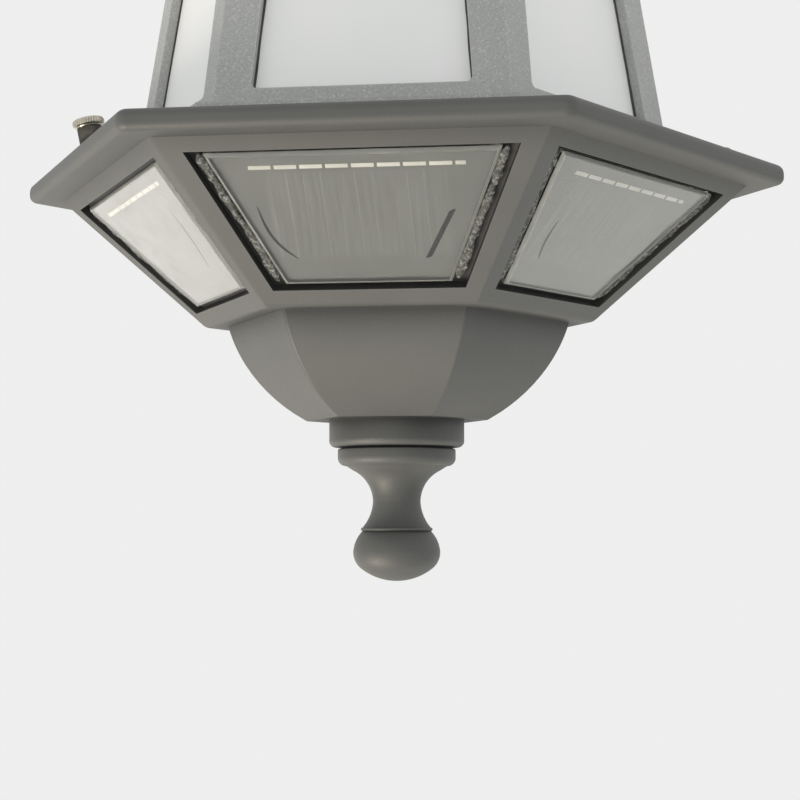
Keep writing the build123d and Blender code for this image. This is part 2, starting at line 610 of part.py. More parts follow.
with BuildPart() as lantern_cage:
    for height in (CAGE_BASE, CAGE_TOP):
        with BuildSketch(at_height(height)):
            RegularPolygon(cage_radius(height), SIDES)
    loft(ruled=True)
    with BuildSketch(at_height(CAGE_BASE)):
        RegularPolygon(cage_flange_radius, SIDES)
    extrude(amount=CAGE_FLANGE)
    with BuildSketch(at_height(CAGE_BASE)):
        with Locations((-latch_ear_reach / 2, 0)):
            Rectangle(latch_ear_reach, LATCH_EAR_WIDTH)
        with Locations((hinge_ear_reach / 2, 0)):
            Rectangle(hinge_ear_reach, HINGE_EAR_WIDTH)
    extrude(amount=EAR_THICKNESS)
    with BuildSketch(screw_plane.offset(screw_boss_foot)):
        Circle(SCREW_BOSS_RADIUS)
    extrude(amount=SCREW_BOSS_TOP - screw_boss_foot)
    with BuildSketch(screw_plane):
        Circle(CLIP_RING_RADIUS + MOVING_GAP)
    extrude(amount=clip_pocket_top, mode=Mode.SUBTRACT)
    with BuildSketch(screw_plane):
        Circle(SCREW_RADIUS + SHANK_GAP)
    extrude(amount=SCREW_BOSS_TOP + CUT_ROOM, mode=Mode.SUBTRACT)
    with BuildSketch(at_height(CAGE_BASE)):
        with Locations((rivet_place, 0)):
            with GridLocations(0, RIVET_SPACING, 1, 2):
                Circle(RIVET_RADIUS + THREAD_GAP)
    extrude(amount=EAR_THICKNESS, mode=Mode.SUBTRACT)
    wall_at_corner = corner_distance(CAGE_WALL) * side_stretch
    for height in (0, CAGE_TOP - CAGE_TOP_PLATE):
        with BuildSketch(at_height(height)):
            RegularPolygon(cage_radius(height) - wall_at_corner, SIDES)
    loft(ruled=True, mode=Mode.SUBTRACT)
    for side in range(SIDES):
        with BuildSketch(side_plane(side, cage_foot, cage_head, CUT_ROOM)) as window:
            window_outline(0)
            fillet(window.vertices(), WINDOW_CORNER)
        extrude(amount=-CAGE_WALL * 2, mode=Mode.SUBTRACT)
    with BuildSketch(at_height(CAGE_TOP)):
        Circle(NIPPLE_RADIUS + SHANK_GAP)
    extrude(amount=-CAGE_TOP_PLATE * 2, mode=Mode.SUBTRACT)
keep(lantern_cage, "lantern_cage")

# Frosted panes, one behind each window, and the clips that hold them to the posts

pane_face = CAGE_WALL + PANE_GAP
for side in range(SIDES):
    with BuildPart() as glass_pane:
        with BuildSketch(side_plane(side, cage_foot, cage_head, -pane_face)):
            window_outline(PANE_OVERLAP)
        extrude(amount=-PANE_THICKNESS)
    keep(glass_pane, f"glass_pane_{side + 1}")

clip_face = pane_face + PANE_THICKNESS + PANE_GAP
with BuildPart() as clip_zones:
    for height in CLIP_HEIGHTS:
        with BuildSketch(at_height(height - CLIP_HEIGHT / 2)):
            with PolarLocations(cage_radius(height) - corner_distance(clip_face), SIDES):
                Circle(CLIP_WING)
        extrude(amount=CLIP_HEIGHT)
with BuildPart() as pane_clips:
    for depth, mode in ((clip_face, Mode.ADD), (clip_face + CLIP_THICKNESS, Mode.SUBTRACT)):
        for height in (0, CAGE_TOP):
            with BuildSketch(at_height(height)):
                RegularPolygon(cage_radius(height) - corner_distance(depth) * side_stretch, SIDES)
        loft(ruled=True, mode=mode)
    add(clip_zones.part, mode=Mode.INTERSECT)
    for height in CLIP_HEIGHTS:
        post_corner = cage_radius(height) - corner_distance(CAGE_WALL) * side_stretch
        clip_corner = cage_radius(height) - corner_distance(clip_face) * side_stretch
        for corner in range(SIDES):
            turn = math.radians(corner * SIDE_TURN)
            out = Vector(math.cos(turn), math.sin(turn), 0)
            start = out * (clip_corner - CLIP_THICKNESS / 2) + Vector(0, -AXIS_OFFSET, EAVE_LEVEL + height)
            with BuildSketch(Plane(origin=start, z_dir=out)):
                Circle(CLIP_RIVET_RADIUS)
            extrude(amount=post_corner - clip_corner + CLIP_THICKNESS / 2 - CLIP_RIVET_RADIUS)
keep(pane_clips, "pane_clips")

# Solar head: eave, sloping sides with windows, dome and collar in one hollow casting

crease = (side_distance(crease_radius), -EAVE_FACE)
slope_end = (side_distance(slope_end_radius), -SLOPE_END_DROP)
slope_length = math.dist(crease, slope_end)
slope_lean = (crease[0] - slope_end[0]) / (crease[1] - slope_end[1])
slope_wall_out = SLOPE_WALL * slope_length / (crease[1] - slope_end[1])
dome_top = side_distance(dome_top_radius)
dome_centre = dome_top - math.sqrt(DOME_ARC_RADIUS**2 - (STEP_DROP - DOME_CENTRE_DROP) ** 2)
plate_side = side_distance(EAVE_RADIUS) - EAVE_WALL
ledge_side = plate_side - HEAD_LEDGE


def on_slope(height, inset=0.0):
    """Distance of the slope's outer face from the axis at a height, less the inset."""
    return slope_end[0] + (height - slope_end[1]) * slope_lean - inset


def dome_side(radius, start, end):
    """Arc of a side of the dome between two heights."""
    low = math.degrees(math.asin((start + DOME_CENTRE_DROP) / radius))
    high = math.degrees(math.asin((end + DOME_CENTRE_DROP) / radius))
    return CenterArc((dome_centre, -DOME_CENTRE_DROP), radius, low, high - low)


def slope_outline():
    FilletPolyline(
        (0, -EAVE_FACE / 2), (on_slope(-EAVE_FACE / 2), -EAVE_FACE / 2),
        (on_slope(-STEP_DROP), -STEP_DROP), (0, -STEP_DROP),
        radius=(0, STEP_ROUND),
    )


def dome_outline():
    arc = dome_side(DOME_ARC_RADIUS, -SLOPE_END_DROP, -DOME_DROP)
    Line((0, -SLOPE_END_DROP), arc @ 0)
    Line(arc @ 1, (0, -DOME_DROP))


def head_hollow_outline():
    step_floor = STEP_WALL - STEP_DROP
    dome_floor = DOME_WALL - DOME_DROP
    ledge_foot = slope_end[1] + (ledge_side + slope_wall_out - slope_end[0]) / slope_lean
    arc = dome_side(DOME_ARC_RADIUS - DOME_WALL, step_floor, dome_floor)
    Polyline(
        (0, CUT_ROOM), (plate_side, CUT_ROOM), (plate_side, -HEAD_PLATE), (ledge_side, -HEAD_PLATE),
        (ledge_side, ledge_foot), (on_slope(step_floor, slope_wall_out), step_floor), arc @ 0,
    )
    Line(arc @ 1, (0, dome_floor))


def slope_half_width(place):
    """Half the width of a sloping side at a distance up from its lower end."""
    return (slope_end_radius + (crease_radius - slope_end_radius) * place / slope_length) / 2


def solar_outline(side_gap, end_gap, mode=Mode.ADD):
    """Outline of a solar window on its side's plane, drawn smaller by the gaps."""
    foot, head = WINDOW_FOOT_MARGIN, slope_length - WINDOW_HEAD_MARGIN
    foot_half = slope_half_width(foot) - WINDOW_FOOT_SIDE
    head_half = slope_half_width(head) - WINDOW_HEAD_SIDE
    widen = (head_half - foot_half) / (head - foot)
    foot_half += widen * end_gap - side_gap
    head_half -= widen * end_gap + side_gap
    foot, head = foot + end_gap, head - end_gap
    Polygon((-foot_half, foot), (foot_half, foot), (head_half, head), (-head_half, head),
            align=None, mode=mode)


collar_foot = DOME_DROP + COLLAR_HEIGHT
finial_top = collar_foot + FINIAL_GAP
head_hollow = hexagonal_solid(head_hollow_outline)
slope_form = hexagonal_solid(slope_outline, MITRE_ROUND)
dome_form = hexagonal_solid(dome_outline, MITRE_ROUND)
with BuildPart() as head_space:
    add(head_hollow)
    for direction in (-1, 1):
        with BuildSketch(at_height(0)):
            with Locations((direction * (pad_reach + EAVE_RADIUS / 2), 0)):
                Rectangle(EAVE_RADIUS, PAD_WIDTH)
        extrude(amount=-PAD_DEPTH, mode=Mode.SUBTRACT)
    with BuildSketch(at_height(-HEAD_PLATE)):
        with Locations(*head_screw_places):
            Circle(HEAD_BOSS_RADIUS)
    extrude(amount=-HEAD_BOSS_DEPTH, mode=Mode.SUBTRACT)
    with BuildSketch(at_height(0)):
        with Locations(*head_screw_places):
            Circle(HEAD_SCREW_RADIUS + THREAD_GAP)
    extrude(amount=-HEAD_PLATE - HEAD_SCREW_LENGTH - THREAD_END)
    with BuildSketch(screw_plane.offset(CUT_ROOM)):
        Circle(SCREW_RADIUS + THREAD_GAP)
    extrude(amount=-SCREW_TIP - CUT_ROOM - THREAD_END)
    with BuildSketch(at_height(0)):
        with Locations((tongue_screw_place, 0)):
            with GridLocations(0, RIVET_SPACING, 1, 2):
                Circle(RIVET_RADIUS + THREAD_GAP)
    extrude(amount=-TONGUE_SCREW_DEPTH - THREAD_END)

with BuildPart() as head_shell:
    with BuildSketch(at_height(-EAVE_FACE)) as eave:
        RegularPolygon(EAVE_RADIUS, SIDES)
        fillet(eave.vertices(), EAVE_CORNER_ROUND)
    extrude(amount=EAVE_FACE)
    fillet(head_shell.faces().sort_by(Axis.Z)[-1].edges(), EAVE_TOP_ROUND)
    fillet(head_shell.faces().sort_by(Axis.Z)[0].edges(), EAVE_FOOT_ROUND)
    add(slope_form)
    add(dome_form)
    with BuildSketch(at_height(-DOME_DROP)):
        Circle(COLLAR_RADIUS)
    extrude(amount=-COLLAR_HEIGHT)
    fillet(head_shell.edges().filter_by(GeomType.CIRCLE).sort_by(Axis.Z)[0], COLLAR_ROUND)
    add(head_space.part, mode=Mode.SUBTRACT)
    for side in range(SIDES):
        with BuildSketch(side_plane(side, slope_end, crease)):
            solar_outline(0, 0)
        extrude(amount=-WINDOW_DEPTH, mode=Mode.SUBTRACT)
        with BuildSketch(side_plane(side, slope_end, crease)):
            solar_outline(WINDOW_LEDGE + PANEL_SIDE_GAP, WINDOW_LEDGE)
        extrude(amount=-SLOPE_WALL * 2, mode=Mode.SUBTRACT)
    with BuildSketch(at_height(0)):
        Circle(FINIAL_STUD_RADIUS + SHANK_GAP)
    extrude(amount=-REACH, mode=Mode.SUBTRACT)
keep(head_shell, "head_shell")

# Solar panels: a board of cells under a clear bevelled cover on each side, and their sealant

board_lift = PANEL_BOARD - WINDOW_DEPTH
for side in range(SIDES):
    with BuildPart() as solar_board:
        with BuildSketch(side_plane(side, slope_end, crease, -WINDOW_DEPTH)):
            solar_outline(PANEL_SIDE_GAP, PANEL_END_GAP)
        extrude(amount=PANEL_BOARD)
    keep(solar_board, f"solar_board_{side + 1}")
    cover_plane = side_plane(side, slope_end, crease, board_lift)
    with BuildPart() as solar_cover:
        with BuildSketch(cover_plane):
            solar_outline(PANEL_SIDE_GAP, PANEL_END_GAP)
        extrude(amount=PANEL_COVER)
        top = solar_cover.faces().sort_by(Axis(cover_plane.origin, cover_plane.z_dir))[-1]
        chamfer(top.edges(), PANEL_BEVEL)
    keep(solar_cover, f"solar_cover_{side + 1}")

with BuildPart() as panel_sealant:
    for side in range(SIDES):
        with BuildSketch(side_plane(side, slope_end, crease, -WINDOW_DEPTH)):
            solar_outline(BEAD_GAP, PANEL_END_GAP)
            solar_outline(PANEL_SIDE_GAP - BEAD_GAP, 0, mode=Mode.SUBTRACT)
        extrude(amount=BEAD_HEIGHT)
keep(panel_sealant, "panel_sealant")

# Finial: a flange, a waisted neck with a ring and a flattened ball, on a stud through the dome


def finial_height(drop):
    """Height of a place on the finial, measured down from its flange's upper face."""
    return -finial_top - drop


# The ball's side arc runs into a flatter arc that crosses the axis at the tip
ball_height = FINIAL_TIP_DROP - FINIAL_BALL_DROP
ball_inset = FINIAL_BALL_RADIUS - FINIAL_BALL_SIDE
ball_foot_radius = (ball_inset**2 + ball_height**2 - FINIAL_BALL_SIDE**2) / 2 / (
    ball_height - FINIAL_BALL_SIDE)
ball_turn = math.degrees(math.atan2(ball_foot_radius - ball_height, ball_inset))

with BuildPart() as finial:
    with BuildSketch(profile_plane()):
        with BuildLine():
            flange = FilletPolyline(
                (0, finial_height(0)), (FINIAL_FLANGE_RADIUS, finial_height(0)),
                (FINIAL_FLANGE_RADIUS, finial_height(FINIAL_FLANGE)),
                (FINIAL_FLANGE_RADIUS - FINIAL_FLANGE_ROUND - CLOSE_GAP, finial_height(FINIAL_FLANGE)),
                radius=(FINIAL_EDGE_ROUND, FINIAL_FLANGE_ROUND),
            )
            waist = (FINIAL_NECK_RADIUS, finial_height(FINIAL_NECK_DROP))
            shoulder = JernArc(waist, (0, 1), FINIAL_NECK_ARC, -FINIAL_NECK_TURN)
            Line(flange @ 1, shoulder @ 1)
            ring = (FINIAL_RING_RADIUS - FINIAL_RING / 2, finial_height(FINIAL_RING_DROP - FINIAL_RING / 2))
            flare_middle = ((waist[0] + ring[0]) / 2 - FINIAL_FLARE_SAG, (waist[1] + ring[1]) / 2)
            ThreePointArc(waist, flare_middle, ring)
            bead = JernArc(ring, (1, 0), FINIAL_RING / 2, -180)
            ball_side = (FINIAL_BALL_RADIUS, finial_height(FINIAL_BALL_DROP))
            crown = (FINIAL_BALL_RADIUS - FINIAL_CROWN_IN, ball_side[1] + FINIAL_CROWN_UP)
            ThreePointArc(bead @ 1, crown, ball_side)
            side_arc = JernArc(ball_side, (0, -1), FINIAL_BALL_SIDE, -ball_turn)
            ball = JernArc(side_arc @ 1, side_arc % 1, ball_foot_radius, ball_turn - 90)
            Line(ball @ 1, (0, finial_height(0)))
        make_face()
    revolve(axis=LANTERN_AXIS)
    with BuildSketch(at_height(finial_height(0))):
        Circle(FINIAL_STUD_RADIUS + THREAD_GAP)
    extrude(amount=-FINIAL_STUD_IN - THREAD_END, mode=Mode.SUBTRACT)
keep(finial, "finial")

with BuildPart() as finial_gasket:
    with BuildSketch(at_height(-collar_foot)):
        Circle(FINIAL_FLANGE_RADIUS - FINIAL_GAP * 2)
        Circle(FINIAL_STUD_RADIUS + SHANK_GAP, mode=Mode.SUBTRACT)
    extrude(amount=-FINIAL_GAP)
keep(finial_gasket, "finial_gasket")

dome_floor_height = DOME_WALL - DOME_DROP
nut_top = dome_floor_height + FINIAL_WASHER_THICKNESS + FINIAL_NUT_THICKNESS
with BuildPart() as finial_stud:
    with BuildSketch(at_height(nut_top + FINIAL_STUD_RADIUS / 2)):
        Circle(FINIAL_STUD_RADIUS)
    extrude(amount=-(nut_top + FINIAL_STUD_RADIUS / 2 + finial_top + FINIAL_STUD_IN))
keep(finial_stud, "finial_stud")

with BuildPart() as finial_nut:
    with BuildSketch(at_height(dome_floor_height)):
        Circle(FINIAL_WASHER_RADIUS)
    extrude(amount=FINIAL_WASHER_THICKNESS)
    with BuildSketch(at_height(dome_floor_height + FINIAL_WASHER_THICKNESS)):
        RegularPolygon(FINIAL_NUT_FLATS / 2, SIDES, major_radius=False)
    extrude(amount=FINIAL_NUT_THICKNESS)
    with BuildSketch(at_height(dome_floor_height)):
        Circle(FINIAL_STUD_RADIUS + THREAD_GAP)
    extrude(amount=REACH, mode=Mode.SUBTRACT)
keep(finial_nut, "finial_nut")

# Head plate: closes the head and carries the light, the battery, the switch and the controls

battery_inner_length = CELL_LENGTH + 2 * BATTERY_END_ROOM
battery_inner_width = 2 * CELL_RADIUS + 2 * MOVING_GAP
battery_length = battery_inner_length + 2 * BATTERY_WALL
battery_width = battery_inner_width + 2 * BATTERY_WALL
cover_length = battery_length + 2 * COVER_OVERLAP
cover_barrel_place = CELL_CENTRE + battery_width / 2 + COVER_BARREL
cover_barrel_height = COVER_LIFT + COVER_BARREL
ear_place = cover_length / 2 + MOVING_GAP
cover_pin_plane = Plane(
    origin=(0, cover_barrel_place - AXIS_OFFSET, EAVE_LEVEL + cover_barrel_height), z_dir=(1, 0, 0))
cell_plane = Plane(
    origin=(0, CELL_CENTRE - AXIS_OFFSET, EAVE_LEVEL - CELL_SINK - CELL_RADIUS), z_dir=(1, 0, 0))


with BuildPart() as head_plate:
    with BuildSketch(at_height(-HEAD_PLATE)):
        RegularPolygon(plate_side - HEAD_PLATE_GAP, SIDES, major_radius=False)
        for direction in (-1, 1):
            with Locations((direction * (pad_reach - PAD_GAP + EAVE_RADIUS / 2), 0)):
                Rectangle(EAVE_RADIUS, PAD_WIDTH + 2 * PAD_GAP, mode=Mode.SUBTRACT)
        with Locations(*head_screw_places):
            Circle(HEAD_SCREW_RADIUS + SHANK_GAP, mode=Mode.SUBTRACT)
        with Locations((0, CELL_CENTRE)):
            Rectangle(battery_length + 2 * MOVING_GAP, battery_width + 2 * MOVING_GAP, mode=Mode.SUBTRACT)
        for direction in (-1, 1):
            with Locations((direction * (ear_place + COVER_EAR / 2), cover_barrel_place)):
                Rectangle(COVER_EAR + 2 * MOVING_GAP, 2 * COVER_BARREL + 2 * MOVING_GAP, mode=Mode.SUBTRACT)
        with Locations((SWITCH_PLACE, 0)):
            Rectangle(SLIDER_WIDTH + 2 * MOVING_GAP, SLIDER_LENGTH + SWITCH_TRAVEL + 2 * MOVING_GAP,
                      mode=Mode.SUBTRACT)
        with PolarLocations(DIFFUSER_SCREW_CIRCLE, DIFFUSER_SCREWS, DIFFUSER_SCREW_TURN):
            Circle(DIFFUSER_SCREW_RADIUS + THREAD_GAP, mode=Mode.SUBTRACT)
    extrude(amount=HEAD_PLATE)
keep(head_plate, "head_plate")

with BuildPart() as head_screws:
    with BuildSketch(at_height(0)):
        with Locations(*head_screw_places):
            Circle(HEAD_SCREW_HEAD_RADIUS)
    extrude(amount=HEAD_SCREW_HEAD)
    with BuildSketch(at_height(0)):
        with Locations(*head_screw_places):
            Circle(HEAD_SCREW_RADIUS)
    extrude(amount=-HEAD_PLATE - HEAD_SCREW_LENGTH)
    chamfer(head_screws.faces().sort_by(Axis.Z)[-len(head_screw_places):].edges(), HEAD_SCREW_HEAD / 3)
keep(head_screws, "head_screws")

with BuildPart() as head_gasket:
    with BuildSketch(at_height(0)):
        RegularPolygon(gasket_outer, SIDES)
        RegularPolygon(gasket_outer - GASKET_WIDTH, SIDES, mode=Mode.SUBTRACT)
    extrude(amount=GASKET_THICKNESS)
keep(head_gasket, "head_gasket")

# Light source: a round board with its light-emitting chips under a diffusing dome

with BuildPart() as led_board:
    with BuildSketch(at_height(0)):
        Circle(LED_BOARD_RADIUS)
    extrude(amount=LED_BOARD_THICKNESS)
keep(led_board, "led_board")

with BuildPart() as led_chips:
    with BuildSketch(at_height(LED_BOARD_THICKNESS)):
        Rectangle(LED_SIZE, LED_SIZE)
        with PolarLocations(LED_CIRCLE, LED_COUNT):
            Rectangle(LED_SIZE, LED_SIZE)
    extrude(amount=LED_HEIGHT)
keep(led_chips, "led_chips")

diffuser_rise = DIFFUSER_HEIGHT - DIFFUSER_WALL
diffuser_ball = (DIFFUSER_RADIUS**2 + diffuser_rise**2) / (2 * diffuser_rise)
diffuser_centre = DIFFUSER_HEIGHT - diffuser_ball
diffuser_start = math.degrees(math.asin((DIFFUSER_WALL - diffuser_centre) / diffuser_ball))
hollow_start = math.degrees(math.asin(-diffuser_centre / (diffuser_ball - DIFFUSER_WALL)))
with BuildPart() as led_diffuser:
    with BuildSketch(profile_plane()):
        with BuildLine():
            outside = CenterArc((0, diffuser_centre), diffuser_ball, diffuser_start, 90 - diffuser_start)
            inside = CenterArc((0, diffuser_centre), diffuser_ball - DIFFUSER_WALL,
                               hollow_start, 90 - hollow_start)
            Polyline(inside @ 0, (DIFFUSER_FLANGE, 0), (DIFFUSER_FLANGE, DIFFUSER_WALL), outside @ 0)
            Line(outside @ 1, inside @ 1)
        make_face()
    revolve(axis=LANTERN_AXIS)
    with BuildSketch(at_height(0)):
        with PolarLocations(DIFFUSER_SCREW_CIRCLE, DIFFUSER_SCREWS, DIFFUSER_SCREW_TURN):
            Circle(DIFFUSER_SCREW_RADIUS + THREAD_GAP)
    extrude(amount=DIFFUSER_WALL * 2, mode=Mode.SUBTRACT)
keep(led_diffuser, "led_diffuser")

with BuildPart() as diffuser_screws:
    with BuildSketch(at_height(-HEAD_PLATE)):
        with PolarLocations(DIFFUSER_SCREW_CIRCLE, DIFFUSER_SCREWS, DIFFUSER_SCREW_TURN):
            Circle(DIFFUSER_SCREW_RADIUS)
    extrude(amount=HEAD_PLATE + DIFFUSER_WALL)
    with BuildSketch(at_height(DIFFUSER_WALL)):
        with PolarLocations(DIFFUSER_SCREW_CIRCLE, DIFFUSER_SCREWS, DIFFUSER_SCREW_TURN):
            Circle(DIFFUSER_SCREW_HEAD)
    extrude(amount=DIFFUSER_SCREW_HEAD / 2)
keep(diffuser_screws, "diffuser_screws")

# Battery box below the plate, with ears above it that carry the hinged cover's pin

cell_height = -CELL_SINK - CELL_RADIUS
battery_floor = cell_height - CELL_RADIUS - CLOSE_GAP
rim_length = 2 * (ear_place + COVER_EAR + COVER_OVERLAP)
rim_width = battery_width + 4 * COVER_BARREL + 2 * MOVING_GAP
with BuildPart() as battery_box:
    with BuildSketch(at_height(0)):
        with Locations((0, CELL_CENTRE)):
            Rectangle(battery_length, battery_width)
    extrude(amount=battery_floor - BATTERY_WALL)
    with BuildSketch(at_height(-HEAD_PLATE)):
        with Locations((0, CELL_CENTRE)):
            Rectangle(rim_length, rim_width)
    extrude(amount=-BATTERY_WALL)
    for direction in (-1, 1):
        with BuildSketch(at_height(-HEAD_PLATE)):
            with Locations((direction * (ear_place + COVER_EAR / 2), cover_barrel_place)):
                Rectangle(COVER_EAR, 2 * COVER_BARREL)
        extrude(amount=HEAD_PLATE + cover_barrel_height + COVER_BARREL)
    with BuildSketch(at_height(0)):
        with Locations((0, CELL_CENTRE)):
            Rectangle(battery_inner_length, battery_inner_width)
    extrude(amount=battery_floor, mode=Mode.SUBTRACT)
    with BuildSketch(cover_pin_plane):
        Circle(COVER_PIN_RADIUS + THREAD_GAP)
    extrude(amount=cover_length, both=True, mode=Mode.SUBTRACT)
keep(battery_box, "battery_box")

with BuildPart() as battery_cell:
    with BuildSketch(cell_plane.offset(-CELL_LENGTH / 2)):
        Circle(CELL_RADIUS)
    extrude(amount=CELL_LENGTH - CELL_BUTTON)
    with BuildSketch(cell_plane):
        Circle(CELL_BUTTON_RADIUS)
    extrude(amount=CELL_LENGTH / 2)
    fillet(round_edges(battery_cell, CELL_RADIUS), CELL_BUTTON)
keep(battery_cell, "battery_cell")

# Contacts: a bent leaf at each end of the cell, against the end wall of the box

contact_reach = battery_inner_length / 2 - CLOSE_GAP
contact_bow = BATTERY_END_ROOM - 2 * CLOSE_GAP
with BuildPart() as battery_contacts:
    for direction in (-1, 1):
        with BuildSketch(Plane((0, CELL_CENTRE - AXIS_OFFSET - CONTACT_WIDTH / 2, EAVE_LEVEL + cell_height),
                               x_dir=(1, 0, 0), z_dir=(0, 1, 0))):
            with BuildLine():
                wall_place = direction * (contact_reach - CONTACT_THICKNESS / 2)
                tip_place = direction * (contact_reach - contact_bow + CONTACT_THICKNESS / 2)
                Polyline((wall_place, -CONTACT_REACH), (wall_place, CONTACT_REACH),
                         (tip_place, CONTACT_BEND), (tip_place, -CONTACT_TIP))
            trace(line_width=CONTACT_THICKNESS)
        extrude(amount=CONTACT_WIDTH)
keep(battery_contacts, "battery_contacts")

cover_hinge_side = cover_barrel_place
cover_free_side = CELL_CENTRE - battery_width / 2 - COVER_OVERLAP
with BuildPart() as battery_cover:
    with BuildSketch(at_height(COVER_LIFT)):
        with Locations((0, (cover_hinge_side + cover_free_side) / 2)):
            Rectangle(cover_length, cover_hinge_side - cover_free_side)
    extrude(amount=COVER_THICKNESS)
    with BuildSketch(cover_pin_plane):
        Circle(COVER_BARREL)
    extrude(amount=cover_length / 2, both=True)
    with BuildSketch(at_height(COVER_LIFT + COVER_THICKNESS)):
        with Locations((0, cover_free_side + COVER_GRIP)):
            Rectangle(COVER_GRIP * 4, COVER_GRIP)
    extrude(amount=COVER_GRIP / 2)
    with BuildSketch(cover_pin_plane):
        Circle(COVER_PIN_RADIUS + PIN_GAP)
    extrude(amount=cover_length, both=True, mode=Mode.SUBTRACT)
keep(battery_cover, "battery_cover")

with BuildPart() as battery_cover_pin:
    with BuildSketch(cover_pin_plane):
        Circle(COVER_PIN_RADIUS)
    extrude(amount=ear_place + COVER_EAR, both=True)
keep(battery_cover_pin, "battery_cover_pin")

# Control board on four spacers below the plate, with its components on its lower face

board_top = -HEAD_PLATE - SPACER_LENGTH
board_spread_x = CONTROL_BOARD_WIDTH - 4 * SPACER_RADIUS
board_spread_y = CONTROL_BOARD_DEPTH - 4 * SPACER_RADIUS
with BuildPart() as board_spacers:
    with BuildSketch(at_height(-HEAD_PLATE)):
        with Locations((0, CONTROL_BOARD_CENTRE)):
            with GridLocations(board_spread_x, board_spread_y, 2, 2):
                Circle(SPACER_RADIUS)
                Circle(SPACER_BORE, mode=Mode.SUBTRACT)
    extrude(amount=-SPACER_LENGTH)
keep(board_spacers, "board_spacers")

with BuildPart() as control_board:
    with BuildSketch(at_height(board_top)):
        with Locations((0, CONTROL_BOARD_CENTRE)):
            Rectangle(CONTROL_BOARD_WIDTH, CONTROL_BOARD_DEPTH)
            with GridLocations(board_spread_x, board_spread_y, 2, 2):
                Circle(SPACER_BORE, mode=Mode.SUBTRACT)
    extrude(amount=-CONTROL_BOARD_THICKNESS)
keep(control_board, "control_board")

with BuildPart() as control_components:
    with BuildSketch(at_height(board_top - CONTROL_BOARD_THICKNESS)):
        with Locations((0, CONTROL_BOARD_CENTRE)):
            Rectangle(CHIP_LENGTH, CHIP_WIDTH)
    extrude(amount=-CHIP_HEIGHT)
    with BuildSketch(at_height(board_top - CONTROL_BOARD_THICKNESS)):
        for direction in (-1, 1):
            with Locations((direction * CAPACITOR_PLACE, CONTROL_BOARD_CENTRE)):
                Circle(CAPACITOR_RADIUS)
    extrude(amount=-CAPACITOR_HEIGHT)
keep(control_components, "control_components")

# Slide switch under the plate, with its slider standing through the plate's slot

with BuildPart() as switch_body:
    with BuildSketch(at_height(-HEAD_PLATE)):
        with Locations((SWITCH_PLACE, 0)):
            Rectangle(SWITCH_WIDTH, SWITCH_LENGTH)
    extrude(amount=-SWITCH_HEIGHT)
    with BuildSketch(at_height(-HEAD_PLATE)):
        with Locations((SWITCH_PLACE, 0)):
            Rectangle(SLIDER_WIDTH + 2 * MOVING_GAP, SLIDER_LENGTH + SWITCH_TRAVEL + 2 * MOVING_GAP)
    extrude(amount=-SWITCH_HEIGHT / 2, mode=Mode.SUBTRACT)
keep(switch_body, "switch_body")

with BuildPart() as switch_slider:
    with BuildSketch(at_height(-HEAD_PLATE - SWITCH_HEIGHT / 2 + MOVING_GAP)):
        with Locations((SWITCH_PLACE, -SWITCH_TRAVEL / 2)):
            Rectangle(SLIDER_WIDTH, SLIDER_LENGTH)
    extrude(amount=SLIDER_HEIGHT)
keep(switch_slider, "switch_slider")

# Thumb screw with its retaining clip: the clip rides in the pocket under the cage's boss

screw_head_foot = SCREW_BOSS_TOP + MOVING_GAP + SCREW_SHOULDER
with BuildPart() as thumb_screw:
    with BuildSketch(screw_plane.offset(-SCREW_TIP)):
        Circle(SCREW_RADIUS)
    extrude(amount=SCREW_TIP + screw_head_foot)
    with BuildSketch(screw_plane.offset(SCREW_BOSS_TOP + MOVING_GAP)):
        Circle(SCREW_SHOULDER_RADIUS)
    extrude(amount=SCREW_SHOULDER)
    with BuildSketch(screw_plane.offset(screw_head_foot)):
        Circle(SCREW_HEAD_RADIUS)
        with PolarLocations(SCREW_HEAD_RADIUS, KNURL_COUNT):
            Circle(KNURL_DEPTH, mode=Mode.SUBTRACT)
    extrude(amount=SCREW_HEAD - SCREW_HEAD_ROUND)
    with BuildSketch(screw_plane.offset(screw_head_foot + SCREW_HEAD - SCREW_HEAD_ROUND)):
        Circle(SCREW_HEAD_RADIUS - KNURL_DEPTH)
    extrude(amount=SCREW_HEAD_ROUND, taper=EDGE_TAPER)
keep(thumb_screw, "thumb_screw")

with BuildPart() as screw_clip:
    with BuildSketch(screw_plane.offset(CLIP_RING_PLACE)):
        Circle(CLIP_RING_RADIUS)
        Circle(SCREW_RADIUS + PIN_GAP, mode=Mode.SUBTRACT)
    extrude(amount=CLIP_RING_THICKNESS)
keep(screw_clip, "screw_clip")

# Hinge at the right corner: a two-eared bracket on the cage, a tongue on the head and a pin

pin_height = HINGE_CLEAR + HINGE_BARREL
ear_top = CAGE_BASE + EAR_THICKNESS
bracket_inner = cage_flange_radius + HINGE_FLANGE_GAP
bracket_top = pin_height + HINGE_BARREL
hinge_plane = Plane(origin=(hinge_reach, -AXIS_OFFSET, EAVE_LEVEL + pin_height), z_dir=(0, 1, 0))
knuckle_room = HINGE_BARREL + MOVING_GAP

